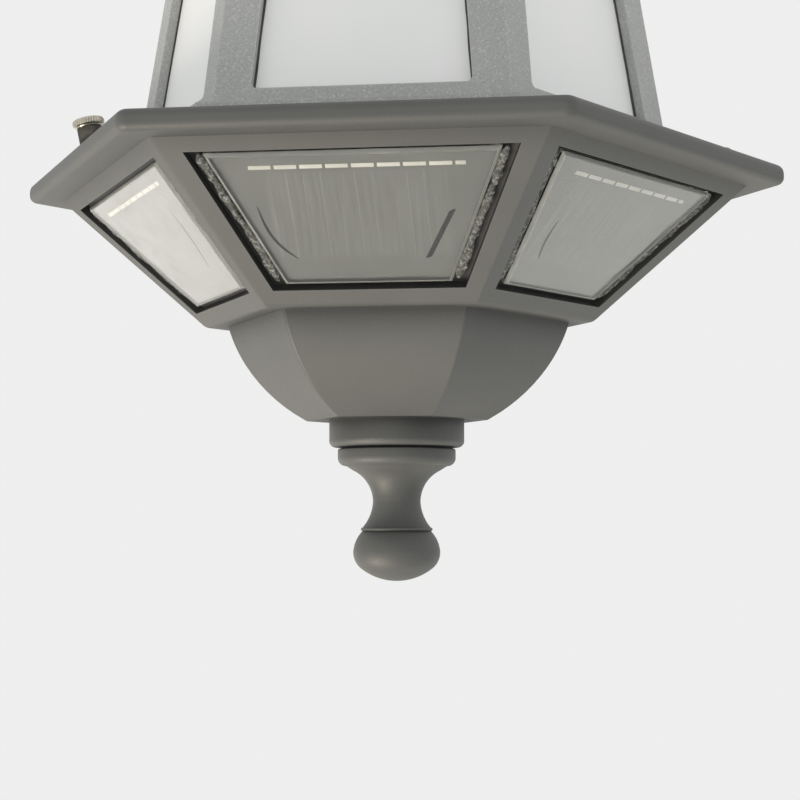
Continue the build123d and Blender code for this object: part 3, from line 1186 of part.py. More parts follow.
with BuildPart() as hinge_bracket:
    with BuildSketch(at_height(ear_top)):
        with Locations(((bracket_inner + hinge_reach) / 2, 0)):
            Rectangle(hinge_reach - bracket_inner, HINGE_WIDTH)
    extrude(amount=bracket_top - ear_top)
    with BuildSketch(hinge_plane):
        Circle(HINGE_BARREL)
    extrude(amount=HINGE_WIDTH / 2, both=True)
    with BuildSketch(at_height(0)):
        with Locations((hinge_reach, 0)):
            Rectangle(2 * knuckle_room, HINGE_TONGUE + 2 * MOVING_GAP)
    extrude(amount=2 * bracket_top, mode=Mode.SUBTRACT)
    with BuildSketch(hinge_plane):
        Circle(HINGE_PIN_RADIUS + THREAD_GAP)
    extrude(amount=HINGE_WIDTH, both=True, mode=Mode.SUBTRACT)
    with BuildSketch(at_height(0)):
        with Locations((rivet_place, 0)):
            with GridLocations(0, RIVET_SPACING, 1, 2):
                Circle(RIVET_RADIUS + THREAD_GAP)
    extrude(amount=2 * bracket_top, mode=Mode.SUBTRACT)
keep(hinge_bracket, "hinge_bracket")

with BuildPart() as hinge_rivets:
    with BuildSketch(at_height(CAGE_BASE)):
        with Locations((rivet_place, 0)):
            with GridLocations(0, RIVET_SPACING, 1, 2):
                Circle(RIVET_RADIUS)
    extrude(amount=bracket_top - CAGE_BASE)
    with BuildSketch(at_height(bracket_top)):
        with Locations((rivet_place, 0)):
            with GridLocations(0, RIVET_SPACING, 1, 2):
                Circle(RIVET_HEAD_RADIUS)
    extrude(amount=RIVET_HEAD, taper=EDGE_TAPER)
keep(hinge_rivets, "hinge_rivets")

with BuildPart() as hinge_tongue:
    with BuildSketch(at_height(0)):
        with Locations(((hinge_reach + hinge_tail) / 2, 0)):
            Rectangle(hinge_tail - hinge_reach, HINGE_TONGUE)
        with Locations(((hinge_reach + knuckle_room + hinge_tail) / 2, 0)):
            Rectangle(hinge_tail - hinge_reach - knuckle_room, HINGE_WIDTH)
        with Locations((tongue_screw_place, 0)):
            with GridLocations(0, RIVET_SPACING, 1, 2):
                Circle(RIVET_RADIUS + SHANK_GAP, mode=Mode.SUBTRACT)
    extrude(amount=HINGE_LEAF)
    with BuildSketch(hinge_plane):
        Circle(HINGE_BARREL)
    extrude(amount=HINGE_TONGUE / 2, both=True)
    with BuildSketch(hinge_plane):
        Circle(HINGE_PIN_RADIUS + PIN_GAP)
    extrude(amount=HINGE_WIDTH, both=True, mode=Mode.SUBTRACT)
keep(hinge_tongue, "hinge_tongue")

with BuildPart() as tongue_screws:
    with BuildSketch(at_height(HINGE_LEAF)):
        with Locations((tongue_screw_place, 0)):
            with GridLocations(0, RIVET_SPACING, 1, 2):
                Circle(RIVET_HEAD_RADIUS)
    extrude(amount=RIVET_HEAD)
    with BuildSketch(at_height(HINGE_LEAF)):
        with Locations((tongue_screw_place, 0)):
            with GridLocations(0, RIVET_SPACING, 1, 2):
                Circle(RIVET_RADIUS)
    extrude(amount=-HINGE_LEAF - TONGUE_SCREW_DEPTH)
keep(tongue_screws, "tongue_screws")

with BuildPart() as hinge_pin:
    with BuildSketch(hinge_plane):
        Circle(HINGE_PIN_RADIUS)
    extrude(amount=HINGE_WIDTH / 2 + HINGE_LEAF, both=True)
keep(hinge_pin, "hinge_pin")
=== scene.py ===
import json
import math

import bmesh
import bpy
import numpy as np
from bpy.props import FloatProperty, FloatVectorProperty, IntProperty, PointerProperty
from bpy.types import Operator, Panel, PropertyGroup
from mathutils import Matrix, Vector


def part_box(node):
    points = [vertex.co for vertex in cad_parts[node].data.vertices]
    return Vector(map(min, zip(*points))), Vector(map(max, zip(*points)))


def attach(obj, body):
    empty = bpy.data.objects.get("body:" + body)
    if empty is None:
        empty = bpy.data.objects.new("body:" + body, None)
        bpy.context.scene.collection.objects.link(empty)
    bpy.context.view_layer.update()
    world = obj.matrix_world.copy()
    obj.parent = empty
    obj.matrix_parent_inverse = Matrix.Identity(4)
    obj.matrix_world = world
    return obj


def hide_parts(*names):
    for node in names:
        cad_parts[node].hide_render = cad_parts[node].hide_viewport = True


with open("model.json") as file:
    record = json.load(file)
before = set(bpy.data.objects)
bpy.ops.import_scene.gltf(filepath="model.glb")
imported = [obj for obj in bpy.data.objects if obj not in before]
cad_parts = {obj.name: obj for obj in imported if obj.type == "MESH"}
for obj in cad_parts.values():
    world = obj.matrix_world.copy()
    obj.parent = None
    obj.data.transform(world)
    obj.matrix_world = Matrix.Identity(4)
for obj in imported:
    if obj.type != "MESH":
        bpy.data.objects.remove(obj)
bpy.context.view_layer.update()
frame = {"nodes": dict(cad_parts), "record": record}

bl_info = {
    "name": "Solar wall lantern",
    "version": (1, 0, 0),
    "blender": (4, 5, 0),
    "location": "3D View > Sidebar > Lantern",
    "description": "Dresses the solar wall lantern and sets its stage",
    "category": "Object",
}

# Lengths below are in millimetres, as in the part's source, and heights are measured from the
# eave level, which is the head plate's upper face. A mesh gets its metres in piece().
MM = 0.001
finial_low, finial_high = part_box("finial")
AXIS = np.array([0.0, (finial_low.y + finial_high.y) / 2 / MM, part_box("head_plate")[1].z / MM])
UP = np.array([0.0, 0.0, 1.0])

SIDES = 6
FRONT = 270                  # direction of the front side, in degrees
HALF_TURN = math.cos(math.radians(30))     # a hexagon's side distance for a corner at 1

# Sloping sides of the head, as (distance of the side from the axis, height)
CREASE_CORNER = 101.1
SLOPE_CORNER = 58.7
CREASE = (CREASE_CORNER * HALF_TURN, -5.8)
SLOPE_END = (SLOPE_CORNER * HALF_TURN, -42.85)
SLOPE_LENGTH = math.dist(CREASE, SLOPE_END)
WINDOW_FOOT, WINDOW_HEAD = 3.2, SLOPE_LENGTH - 4.7
WINDOW_FOOT_SIDE, WINDOW_HEAD_SIDE = 4.9, 6.0
WINDOW_DEPTH = 2.9
PANEL_SIDE_GAP, PANEL_END_GAP = 4.2, 1.4
BOARD_TOP = -1.9             # underside of the clear cover
COVER_GAP = 0.1              # left for the prints between the board and its cover
COVER_TOP, COVER_BEVEL = BOARD_TOP + 1.4, 0.9
PRINT_FOOT, PRINT_TOP = BOARD_TOP - COVER_GAP + 0.01, BOARD_TOP - 0.03
DASHES, DASH_START, DASH_GAP, LAST_DASH = 9, -27.0, 0.8, 2.6
DASH_ROW = WINDOW_HEAD - 6.2

# Cage sides
CAGE_CORNER, CAGE_TAPER, CAGE_TOP = 79.4, 0.166, 150.0
CAGE_FOOT = (CAGE_CORNER * HALF_TURN, 0.0)
CAGE_HEAD = ((CAGE_CORNER - CAGE_TAPER * CAGE_TOP) * HALF_TURN, CAGE_TOP)
CAGE_STRETCH = math.dist(CAGE_FOOT, CAGE_HEAD) / CAGE_TOP
POST_WIDTH, RAIL_FOOT, RAIL_HEAD = 9.8, 10.8, 13.0
PANE_FACE = 3.1              # pane's outer face behind the cage's

# Dark leads on the boards, as (foot, head, bow, half width). Other sides have the front's, and
# a wide lead is hatched
LEADS = {
    0: (((-17.5, 12.4), (-26.4, 29.8), -1.6, 0.4), ((16.5, 12.0), (24.0, 27.0), 1.0, 1.0)),
    1: (((-15.6, 14.0), (-19.4, 27.0), -0.8, 0.5), ((22.1, 11.8), (30.6, 35.5), 1.5, 0.42)),
    5: (((22.8, 14.1), (29.6, 33.0), 0.9, 0.5), ((11.5, 13.9), (20.1, 34.0), 0.8, 0.42)),
}
HATCHED_FROM, STROKE_HALF, STROKE_RISE = 0.6, 0.5, 0.03

# Thumb screw, and the distances of the other screws from the axis or from the wall
SCREW_CIRCLE, SCREW_LEAN = 89.8, math.radians(12)
PLATE_SCREW_CIRCLE, DOME_SCREW_CIRCLE = 90.0, 20.4
HINGE_SCREW_PLACE, HINGE_SCREW_SIDE = 99.3, 4.25
ARM_SCREW_FACE, ARM_SCREW_RISE = -16.5, 14.0

# Light chips, battery cell and control board
CHIP_CIRCLE, CHIP_FOOT = 9.0, 1.6
CELL_PLACE, CELL_HALF, WRAP_THICKNESS = (0.0, 38.0, -10.2), 32.5, 0.2
BOARD_PLACE, BOARD_FACE, CAPACITOR_SIDE = -36.0, -11.6, 15.0
CHIP_LEADS, LEAD_PITCH, LEAD_POINTS = 7, 1.8, 14


# ---- Shapes ----------------------------------------------------------------------------------

def plane(start, across, up, out):
    """Start point and three directions, as the rows of one array."""
    return np.array([start, across, up, out], float)


def on(place, across, up, out):
    """Points at these distances along the three directions of a plane, from its start."""
    along = (np.asarray(d, float)[..., None] for d in (across, up, out))
    return place[0] + sum(d * direction for d, direction in zip(along, place[1:]))


def side_plane(side, foot, head):
    """Plane of a sloping side through two profile points (distance, height): across the side,
    up it from foot to head, and outwards."""
    turn = math.radians(FRONT + 60 * side)
    out = np.array([math.cos(turn), math.sin(turn), 0.0])
    across = np.array([-math.sin(turn), math.cos(turn), 0.0])
    climb = out * (head[0] - foot[0]) + UP * (head[1] - foot[1])
    climb /= np.linalg.norm(climb)
    return plane(AXIS + out * foot[0] + UP * foot[1], across, climb, np.cross(across, climb))


def level_plane(x, y, height):
    """Level plane with its start at a place in the lantern, Z up."""
    return plane(AXIS + (x, y, height), (1, 0, 0), (0, 1, 0), UP)


def level_ring(circle, turns, height):
    """Level planes on a circle round the axis, in these directions in degrees."""
    return [level_plane(circle * math.cos(turn), circle * math.sin(turn), height)
            for turn in np.radians(turns)]


def unevenness(seed, *fields):
    """Smooth uneven values of about -1 to 1: twelve sine waves over the fields, with seeded
    directions and phases, added up."""
    chance = np.random.default_rng(seed)
    total = 0.0
    for _ in range(12):
        total = total + np.sin(sum(chance.normal() * f for f in fields) + chance.uniform(0, 6.28))
    return total / math.sqrt(12)


def turned(place, radius, height, segments=96, shape=None):
    """Profile (radius, height) turned round a plane's third direction: row i at angle a lies at
    radius i along (cos a, sin a) and at height i. A shape may change both by row and angle."""
    turn = np.linspace(0, 2 * np.pi, segments + 1)
    radius, height = (np.asarray(v, float)[:, None] + 0 * turn for v in (radius, height))
    if shape:
        radius, height = shape(radius, height, turn)
    return on(place, radius * np.cos(turn), radius * np.sin(turn), height)


def threaded(place, radius, start, end, pitch, depth, segments=32):
    """Screw thread: at height h and angle a the radius is the crest's less depth times a
    rounded triangle wave of h / pitch - a / full turn. It runs out into a cone at both ends."""
    rows = int(abs(end - start) / pitch * 10) + 2
    height = np.linspace(start, end, rows)

    def groove(r, h, turn):
        wave = 0.5 + np.arcsin(0.96 * np.cos(2 * np.pi * h / pitch - turn)) / np.pi
        ends = np.clip(np.minimum(np.abs(h - start), np.abs(h - end)) / (2 * depth), 0, 1)
        return (r - depth * (1 - wave)) * (0.75 + 0.25 * ends) * (r > 0), h

    radius = np.full(rows, radius)
    return turned(place, np.r_[0, radius, 0], np.r_[start, height, end], segments, groove)


def bead(path, across, up, half_width, half_height, segments=12):
    """Oval section carried along a path: at angle a the point lies at half width times cos a
    across it and half height times sin a above it. A closed path ends where it starts, and an
    open one has no width at its ends."""
    turn = np.linspace(0, 2 * np.pi, segments + 1)
    wide = np.outer(half_width * np.ones(len(path)), np.cos(turn))
    high = np.outer(half_height * np.ones(len(path)), np.sin(turn))
    return path[:, None] + across[:, None] * wide[..., None] + up[:, None] * high[..., None]


def steps(path):
    """Unit steps along a path on a plane."""
    step = np.gradient(path, axis=0)
    return step / np.linalg.norm(step, axis=1)[:, None]


def drawn(place, path, step, height, half_width, half_height):
    """Bead along a path on a plane, at a height above it."""
    across = step[:, :1] * place[2] - step[:, 1:] * place[1]
    points = on(place, path[:, 0], path[:, 1], height)
    return bead(points, across, np.tile(place[3], (len(path), 1)), half_width, half_height, 8)


def inward(outline):
    """For each corner of a counter-clockwise outline, the way it moves when all edges move in
    by 1: the sum of its two edges' inward normals over 1 plus their product."""
    edge = np.roll(outline, -1, 0) - outline
    normal = np.stack([-edge[:, 1], edge[:, 0]], 1) / np.linalg.norm(edge, axis=1)[:, None]
    before = np.roll(normal, 1, 0)
    return (normal + before) / (1 + (normal * before).sum(1))[:, None]


def slab(place, outline, levels):
    """Flat plate: its outline is carried through levels of (inset, height), and its middle
    closes the first and the last. The second result is each point's place on the plane."""
    outline = np.asarray(outline, float)
    rings = [outline + inward(outline) * inset for inset, _ in levels]
    heights = [height for _, height in levels]
    middle = np.tile(outline.mean(0), (len(outline), 1))
    rings = np.array([middle, *rings, middle])
    rings = np.concatenate([rings, rings[:, :1]], 1)
    heights = np.array([heights[0], *heights, heights[-1]])[:, None] + 0 * rings[..., 0]
    return on(place, rings[..., 0], rings[..., 1], heights), rings


def box_outline(width, depth, corner=0.0):
    """Rectangle about the middle, counter-clockwise, with each corner rounded by four points."""
    if not corner:
        return np.array([(-1, -1), (1, -1), (1, 1), (-1, 1)]) * (width / 2, depth / 2)
    turn = np.radians([0, 30, 60, 90])
    arc = corner * np.stack([np.cos(turn), np.sin(turn)], 1) + (width / 2 - corner, depth / 2 - corner)
    return np.vstack([arc, arc[::-1] * (-1, 1), -arc, arc[::-1] * (1, -1)])


def rounded_path(outline, radius, step):
    """Points a step apart along a counter-clockwise outline with rounded corners, closed. At
    each corner an arc turns from one edge's outward normal to the next edge's."""
    centre = outline + inward(outline) * radius
    edge = np.roll(outline, -1, 0) - outline
    after = np.arctan2(-edge[:, 0], edge[:, 1])
    before = np.roll(after, 1)
    sweep = (after - before) % (2 * np.pi)
    turn = before[:, None] + sweep[:, None] * np.linspace(0, 1, 7)
    arc = centre[:, None] + radius * np.stack([np.cos(turn), np.sin(turn)], 2)
    corners = np.vstack([arc.reshape(-1, 2), arc[:1, 0]])
    length = np.r_[0, np.cumsum(np.linalg.norm(np.diff(corners, axis=0), axis=1))]
    place = np.linspace(0, length[-1], int(length[-1] / step))
    return np.stack([np.interp(place, length, corners[:, i]) for i in (0, 1)], 1)


def side_half(place):
    """Half the width of a sloping side at a distance up it."""
    return (SLOPE_CORNER + (CREASE_CORNER - SLOPE_CORNER) * place / SLOPE_LENGTH) / 2


def window_half(place):
    """Half the width of a solar window at a distance up its side."""
    foot, head = side_half(WINDOW_FOOT) - WINDOW_FOOT_SIDE, side_half(WINDOW_HEAD) - WINDOW_HEAD_SIDE
    return foot + (place - WINDOW_FOOT) / (WINDOW_HEAD - WINDOW_FOOT) * (head - foot)


def trapezium(foot, head, foot_half, head_half):
    """Outline between two heights, with half its width at each."""
    return np.array([(-foot_half, foot), (foot_half, foot), (head_half, head), (-head_half, head)])


def panel_outline(side_gap, end_gap):
    """Solar window's outline on its side's plane, drawn smaller by the gaps."""
    foot, head = WINDOW_FOOT + end_gap, WINDOW_HEAD - end_gap
    return trapezium(foot, head, window_half(foot) - side_gap, window_half(head) - side_gap)


def cage_window(grow):
    """Cage window's outline on its side's plane, larger by grow."""
    foot = RAIL_FOOT * CAGE_STRETCH - grow
    head = (CAGE_TOP - RAIL_HEAD) * CAGE_STRETCH + grow
    return trapezium(foot, head, *(
        (CAGE_CORNER - CAGE_TAPER * place / CAGE_STRETCH) / 2 - POST_WIDTH + grow
        for place in (foot, head)))


def piece(name, patches, material, body, slot, *nodes, places=None, sharp=35):
    """Object from patches, each a grid of points (rows, columns, 3) in millimetres. Neighbours
    in a grid make quads. Doubles are merged, which closes a grid that ends where it starts or
    in one point, and the faces are turned outwards. Places become the UV map, in metres."""
    faces, start = [], 0
    for patch in patches:
        rows, columns = patch.shape[:2]
        index = start + np.arange(rows * columns).reshape(rows, columns)
        corners = (index[:-1, :-1], index[:-1, 1:], index[1:, 1:], index[1:, :-1])
        faces.append(np.stack(corners, -1).reshape(-1, 4))
        start += rows * columns
    points = np.concatenate([patch.reshape(-1, 3) for patch in patches]) * MM
    mesh = bpy.data.meshes.new(name)
    mesh.from_pydata(points.tolist(), [], np.concatenate(faces).tolist())
    if places:
        layer = mesh.uv_layers.new(name="place")
        corner = np.zeros(len(mesh.loops), np.int32)
        mesh.loops.foreach_get("vertex_index", corner)
        flat = np.concatenate([p.reshape(-1, 2) for p in places]) * MM
        layer.data.foreach_set("uv", flat[corner].ravel())
    form = bmesh.new()
    form.from_mesh(mesh)
    bmesh.ops.remove_doubles(form, verts=form.verts, dist=2e-7)
    bmesh.ops.recalc_face_normals(form, faces=form.faces)
    form.to_mesh(mesh)
    form.free()
    mesh.materials.append(material)
    mesh.shade_smooth()
    mesh.set_sharp_from_angle(angle=math.radians(sharp))
    made = bpy.data.objects.new(name, mesh)
    bpy.context.scene.collection.objects.link(made)
    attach(made, body)
    if nodes:
        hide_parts(*nodes)
    return made


# ---- Finishes --------------------------------------------------------------------------------

def linear(code):
    """Linear red, green and blue of an sRGB hex colour."""
    values = (int(code[i:i + 2], 16) / 255 for i in (1, 3, 5))
    return tuple(v / 12.92 if v <= 0.04045 else ((v + 0.055) / 1.055) ** 2.4 for v in values)


def node(tree, kind, links=None, **settings):
    """Add a node with its settings, and link or set its inputs."""
    made = tree.nodes.new("ShaderNode" + kind)
    for name, value in settings.items():
        setattr(made, name, value)
    for name, value in (links or {}).items():
        if isinstance(value, bpy.types.NodeSocket):
            tree.links.new(value, made.inputs[name])
        else:
            made.inputs[name].default_value = value
    return made


def new_finish(name, base, **sockets):
    """Material with one shader; the base colour is linear."""
    material = bpy.data.materials.new(name)
    material.use_nodes = True
    tree = material.node_tree
    tree.nodes.clear()
    links = {"Base Color": (*base, 1.0)}
    links.update({key.replace("_", " "): value for key, value in sockets.items()})
    shader = node(tree, "BsdfPrincipled", links)
    node(tree, "OutputMaterial", {"Surface": shader.outputs["BSDF"]})
    material.diffuse_color = (*base, 1.0)
    return material, tree, shader


def shades(base, dark, light):
    """Inputs of a colour mix that runs from a darker to a lighter multiple of the base."""
    return {"Color1": (*(c * dark for c in base), 1.0), "Color2": lighter(base, light, 0.95)}


def lighter(base, factor, limit=0.9):
    """Lighter multiple of a colour, as a shader's input."""
    return (*(min(c * factor, limit) for c in base), 1.0)


def surfaced(name, base, colours, shade, gloss, bump, **sockets):
    """Material whose colour, roughness and bump each follow a noise, given as (grain in
    millimetres, detail, distortion, roughness). Colour and roughness run from one value to the
    other as their noise goes from low to high. The bump has a strength and a height."""
    material, tree, shader = new_finish(name, base, **sockets)
    place = node(tree, "TexCoord").outputs["Object"]
    fields = {}
    for noise in (part[0] for part in (shade, gloss, bump) if part):
        if noise not in fields:
            grain, detail, distortion, rough = noise
            fields[noise] = node(tree, "TexNoise", {
                "Vector": place, "Scale": 1 / (grain * MM), "Detail": detail,
                "Distortion": distortion, "Roughness": rough}).outputs["Fac"]
    if shade:
        noise, low, high = shade
        amount = node(tree, "MapRange", {0: fields[noise], 1: low, 2: high}).outputs[0]
        mix = node(tree, "MixRGB", {"Fac": amount, **colours})
        tree.links.new(mix.outputs["Color"], shader.inputs["Base Color"])
    noise, low, high, at_low, at_high = gloss
    rough = node(tree, "MapRange", {0: fields[noise], 1: low, 2: high, 3: at_low, 4: at_high})
    tree.links.new(rough.outputs[0], shader.inputs["Roughness"])
    noise, strength, height = bump
    relief = node(tree, "Bump", {"Height": fields[noise], "Strength": strength, "Distance": height * MM})
    tree.links.new(relief.outputs["Normal"], shader.inputs["Normal"])
    return material


def powder_coat(name, base, grain, height, contrast, glint_flecks, corner_shade):
    """Polyester powder coat on a sand-cast aluminium part, baked: a dull grey skin with the
    casting's sand grain under it, painted shade in inner corners, a painted highlight on edges,
    and lighter flecks painted as glints."""
    material, tree, shader = new_finish(name, base, IOR=1.5)
    place = node(tree, "TexCoord").outputs["Object"]
    grains = node(tree, "TexNoise", {
        "Vector": place, "Scale": 1 / (grain * MM), "Detail": 3.0, "Roughness": 0.65}).outputs["Fac"]
    amount = node(tree, "MapRange", {0: grains, 1: 0.32, 2: 0.68}).outputs[0]
    coat = node(tree, "MixRGB", {"Fac": amount, **shades(base, 1 - contrast, 1 + contrast)}).outputs[0]
    # Slow changes of tone by some 6 % over 18 mm, and painted shade within 10 mm of an inner corner
    clouds = node(tree, "TexNoise", {
        "Vector": place, "Scale": 1 / (18 * MM), "Detail": 2.0}).outputs["Fac"]
    cloudy = node(tree, "MapRange", {0: clouds, 1: 0.3, 2: 0.7, 3: 0.95, 4: 1.03}).outputs[0]
    nook = node(tree, "AmbientOcclusion", {"Distance": 10 * MM}, samples=8).outputs["AO"]
    painted_corner_shade = node(tree, "MapRange", {0: nook, 1: 0.66, 2: 0.99, 3: 1 - corner_shade, 4: 1.0}).outputs[0]
    for layer in (cloudy, painted_corner_shade):
        coat = node(tree, "MixRGB", {"Fac": 1.0, "Color1": coat, "Color2": layer},
                    blend_type="MULTIPLY").outputs[0]
    # Painted highlight on edges: lighter where a rounded normal leaves the face's own
    rounded = node(tree, "Bevel", {"Radius": 0.7 * MM}, samples=4).outputs["Normal"]
    flat = node(tree, "NewGeometry").outputs["Normal"]
    match = node(tree, "VectorMath", {0: rounded, 1: flat}, operation="DOT_PRODUCT").outputs["Value"]
    edge = node(tree, "MapRange", {0: match, 1: 1.0, 2: 0.86, 3: 0.0, 4: 0.3}).outputs[0]
    coat = node(tree, "MixRGB", {"Fac": edge, "Color1": coat, "Color2": lighter(base, 1.6)}).outputs[0]
    # Flecks: one cell in ten is lighter, a painted glint for the sandy coat's sparkle
    cells = node(tree, "TexVoronoi", {"Vector": place, "Scale": 1 / (1.1 * grain * MM)})
    pick = node(tree, "SeparateColor", {"Color": cells.outputs["Color"]}).outputs["Red"]
    painted_glint = node(tree, "MapRange", {0: pick, 1: 0.88, 2: 0.93, 3: 0.0, 4: glint_flecks}).outputs[0]
    coat = node(tree, "MixRGB", {"Fac": painted_glint, "Color1": coat, "Color2": lighter(base, 1.8)}).outputs[0]
    tree.links.new(coat, shader.inputs["Base Color"])
    gloss = node(tree, "MapRange", {0: grains, 1: 0.3, 2: 0.7, 3: 0.62, 4: 0.45}).outputs[0]
    tree.links.new(gloss, shader.inputs["Roughness"])
    bump = node(tree, "Bump", {"Height": grains, "Strength": 0.5, "Distance": height * MM})
    tree.links.new(bump.outputs["Normal"], shader.inputs["Normal"])
    return material


def plated(name, base, roughness, tone, grain):
    """Plated metal: soft passivation clouds a few millimetres across in colour and gloss, over
    fine drawing or turning marks. A metal's IOR is left as it is."""
    clouds = (4, 4.0, 0.6, 0.5)
    return surfaced(
        name, base, {"Color1": (*base, 1.0), "Color2": (*tone, 1.0)}, (clouds, 0.35, 0.65),
        (clouds, 0.3, 0.7, roughness * 0.8, roughness * 1.25), ((grain, 3.0, 0.0, 0.5), 0.25, 0.03),
        Metallic=1.0)


def acid_etched_glass(name, base):
    """Float glass, acid-etched on one face: milky and slightly green, with a fine even tooth
    and faint clouds where the etch is uneven."""
    tooth = (0.5, 2.0, 0.0, 0.5)
    return surfaced(
        name, base, shades(base, 0.96, 1.02), ((22, 3.0, 0.0, 0.5), 0.3, 0.7),
        (tooth, 0.3, 0.7, 0.38, 0.55), (tooth, 0.15, 0.04), IOR=1.52, Transmission_Weight=0.12)


def clear_acrylic(name):
    """Cast acrylic cover, flame-polished: clear, with faint smears that change its gloss."""
    smears = (9, 4.0, 1.2, 0.5)
    return surfaced(
        name, (0.97, 0.975, 0.97), None, None, (smears, 0.35, 0.7, 0.03, 0.12), (smears, 0.05, 0.2),
        IOR=1.49, Transmission_Weight=1.0)


def silicon_cells(name, base):
    """Silicon cells laminated in resin: a flat grey face with thin printed contact fingers
    2.2 mm apart up the middle of the board, a little uneven in strength, and a plain margin."""
    material, tree, shader = new_finish(name, base, Roughness=0.3, IOR=1.5)
    place = node(tree, "UVMap", uv_map="place").outputs["UV"]
    across = node(tree, "SeparateXYZ", {"Vector": place})
    fingers = node(tree, "Math", {0: across.outputs["X"], 1: 2.2 * MM}, operation="PINGPONG").outputs[0]
    line = node(tree, "MapRange", {0: fingers, 1: 0.0, 2: 0.28 * MM, 3: 1.0, 4: 0.0}).outputs[0]
    stretched = node(tree, "Mapping", {"Vector": place, "Scale": (1, 0.06, 1)}).outputs["Vector"]
    streaks = node(tree, "TexNoise", {
        "Vector": stretched, "Scale": 1 / (1.2 * MM), "Detail": 2.0}).outputs["Fac"]
    clouds = node(tree, "TexNoise", {
        "Vector": place, "Scale": 1 / (14 * MM), "Detail": 3.0}).outputs["Fac"]
    # The fingers' field: 48 mm wide, from 13 to 40 mm up the side
    middle = node(tree, "Math", {0: across.outputs["X"]}, operation="ABSOLUTE").outputs[0]
    inside = node(tree, "MapRange", {0: middle, 1: 24 * MM, 2: 23 * MM}).outputs[0]
    below = node(tree, "MapRange", {0: across.outputs["Y"], 1: 40 * MM, 2: 39 * MM}).outputs[0]
    above = node(tree, "MapRange", {0: across.outputs["Y"], 1: 12 * MM, 2: 14 * MM}).outputs[0]
    field = node(tree, "Math", {0: inside, 1: below}, operation="MULTIPLY").outputs[0]
    field = node(tree, "Math", {0: field, 1: above}, operation="MULTIPLY").outputs[0]
    strong = node(tree, "MapRange", {0: streaks, 1: 0.3, 2: 0.7, 3: 0.1, 4: 1.0}).outputs[0]
    faint = node(tree, "MapRange", {0: streaks, 1: 0.3, 2: 0.7, 3: 0.0, 4: 0.35}).outputs[0]
    uneven = node(tree, "Math", {0: line, 1: strong}, operation="MULTIPLY").outputs[0]
    fine = node(tree, "Math", {0: faint, 1: uneven}, operation="MAXIMUM").outputs[0]
    drawn = node(tree, "Math", {0: fine, 1: field}, operation="MULTIPLY").outputs[0]
    amount = node(tree, "MapRange", {0: clouds, 1: 0.3, 2: 0.7}).outputs[0]
    mix = node(tree, "MixRGB", {"Fac": amount, **shades(base, 0.94, 1.06)}).outputs[0]
    cells = node(tree, "MixRGB", {
        "Fac": drawn, "Color1": mix, "Color2": (*(min(c * 1.55 + 0.02, 0.9) for c in base), 1.0)})
    tree.links.new(cells.outputs["Color"], shader.inputs["Base Color"])
    return material


def moulded(name, base, roughness, grain, height, **sockets):
    """Moulded plastic or rubber: an even colour with the mould's spark-eroded grain in its
    gloss and bump, and faint flow shades some 12 mm long."""
    grains = (grain, 2.0, 0.0, 0.5)
    return surfaced(
        name, base, shades(base, 0.93, 1.06), ((12, 2.0, 0.8, 0.5), 0.3, 0.7),
        (grains, 0.3, 0.7, roughness * 0.85, min(roughness * 1.2, 1.0)), (grains, 0.3, height),
        IOR=1.5, **sockets)


def glass_fibre_board(name, base):
    """FR-4 board under green solder mask: the glass weave shows faintly, 0.6 mm apart, and
    copper tracks lie lighter under the mask, on a 2.5 mm pattern."""
    material, tree, shader = new_finish(name, base, Roughness=0.3, IOR=1.5)
    place = node(tree, "TexCoord").outputs["Object"]
    weave = node(tree, "TexBrick", {
        "Vector": place, "Scale": 1.0, "Brick Width": 0.6 * MM, "Row Height": 0.6 * MM,
        "Mortar Size": 0.05 * MM, "Color1": (1, 1, 1, 1), "Color2": (0.9, 0.9, 0.9, 1),
        "Mortar": (0.7, 0.7, 0.7, 1)}).outputs["Color"]
    tracks = node(tree, "TexVoronoi", {"Vector": place, "Scale": 1 / (2.5 * MM)},
                  distance="MANHATTAN", feature="F1").outputs["Distance"]
    lines = node(tree, "Math", {0: tracks, 1: 0.28}, operation="PINGPONG").outputs[0]
    copper = node(tree, "MapRange", {0: lines, 1: 0.2, 2: 0.23, 3: 0.0, 4: 0.6}).outputs[0]
    mix = node(tree, "MixRGB", {
        "Fac": copper, "Color1": (*base, 1.0), "Color2": (*(c * 1.8 + 0.01 for c in base), 1.0)})
    woven = node(tree, "MixRGB", {"Fac": 0.4, "Color1": mix.outputs["Color"], "Color2": weave},
                 blend_type="MULTIPLY")
    tree.links.new(woven.outputs["Color"], shader.inputs["Base Color"])
    bump = node(tree, "Bump", {"Height": copper, "Strength": 0.3, "Distance": 0.05 * MM})
    tree.links.new(bump.outputs["Normal"], shader.inputs["Normal"])
    return material


def silicone_sealant(name, base):
    """Acetic silicone, squeezed in and left untouched: clear and glossy, painted mostly dark as shade,
    with milky specks that are painted glints where trapped bubbles sparkle."""
    lumps = (1.1, 5.0, 0.0, 0.75)
    return surfaced(
        name, base, shades(base, 0.3, 1.5), (lumps, 0.47, 0.66), (lumps, 0.3, 0.7, 0.06, 0.3),
        (lumps, 0.9, 0.5), IOR=1.41, Transmission_Weight=0.5)


# ---- Settings --------------------------------------------------------------------------------

def length_setting(name, description, millimetres):
    """Length setting, its default in millimetres."""
    return FloatProperty(
        name=name, description=description, default=millimetres * MM, unit="LENGTH")


def colour_setting(name, description, code):
    """Colour setting, its default an sRGB hex colour."""
    return FloatVectorProperty(
        name=name, description=description, default=linear(code), subtype="COLOR", min=0, max=1)


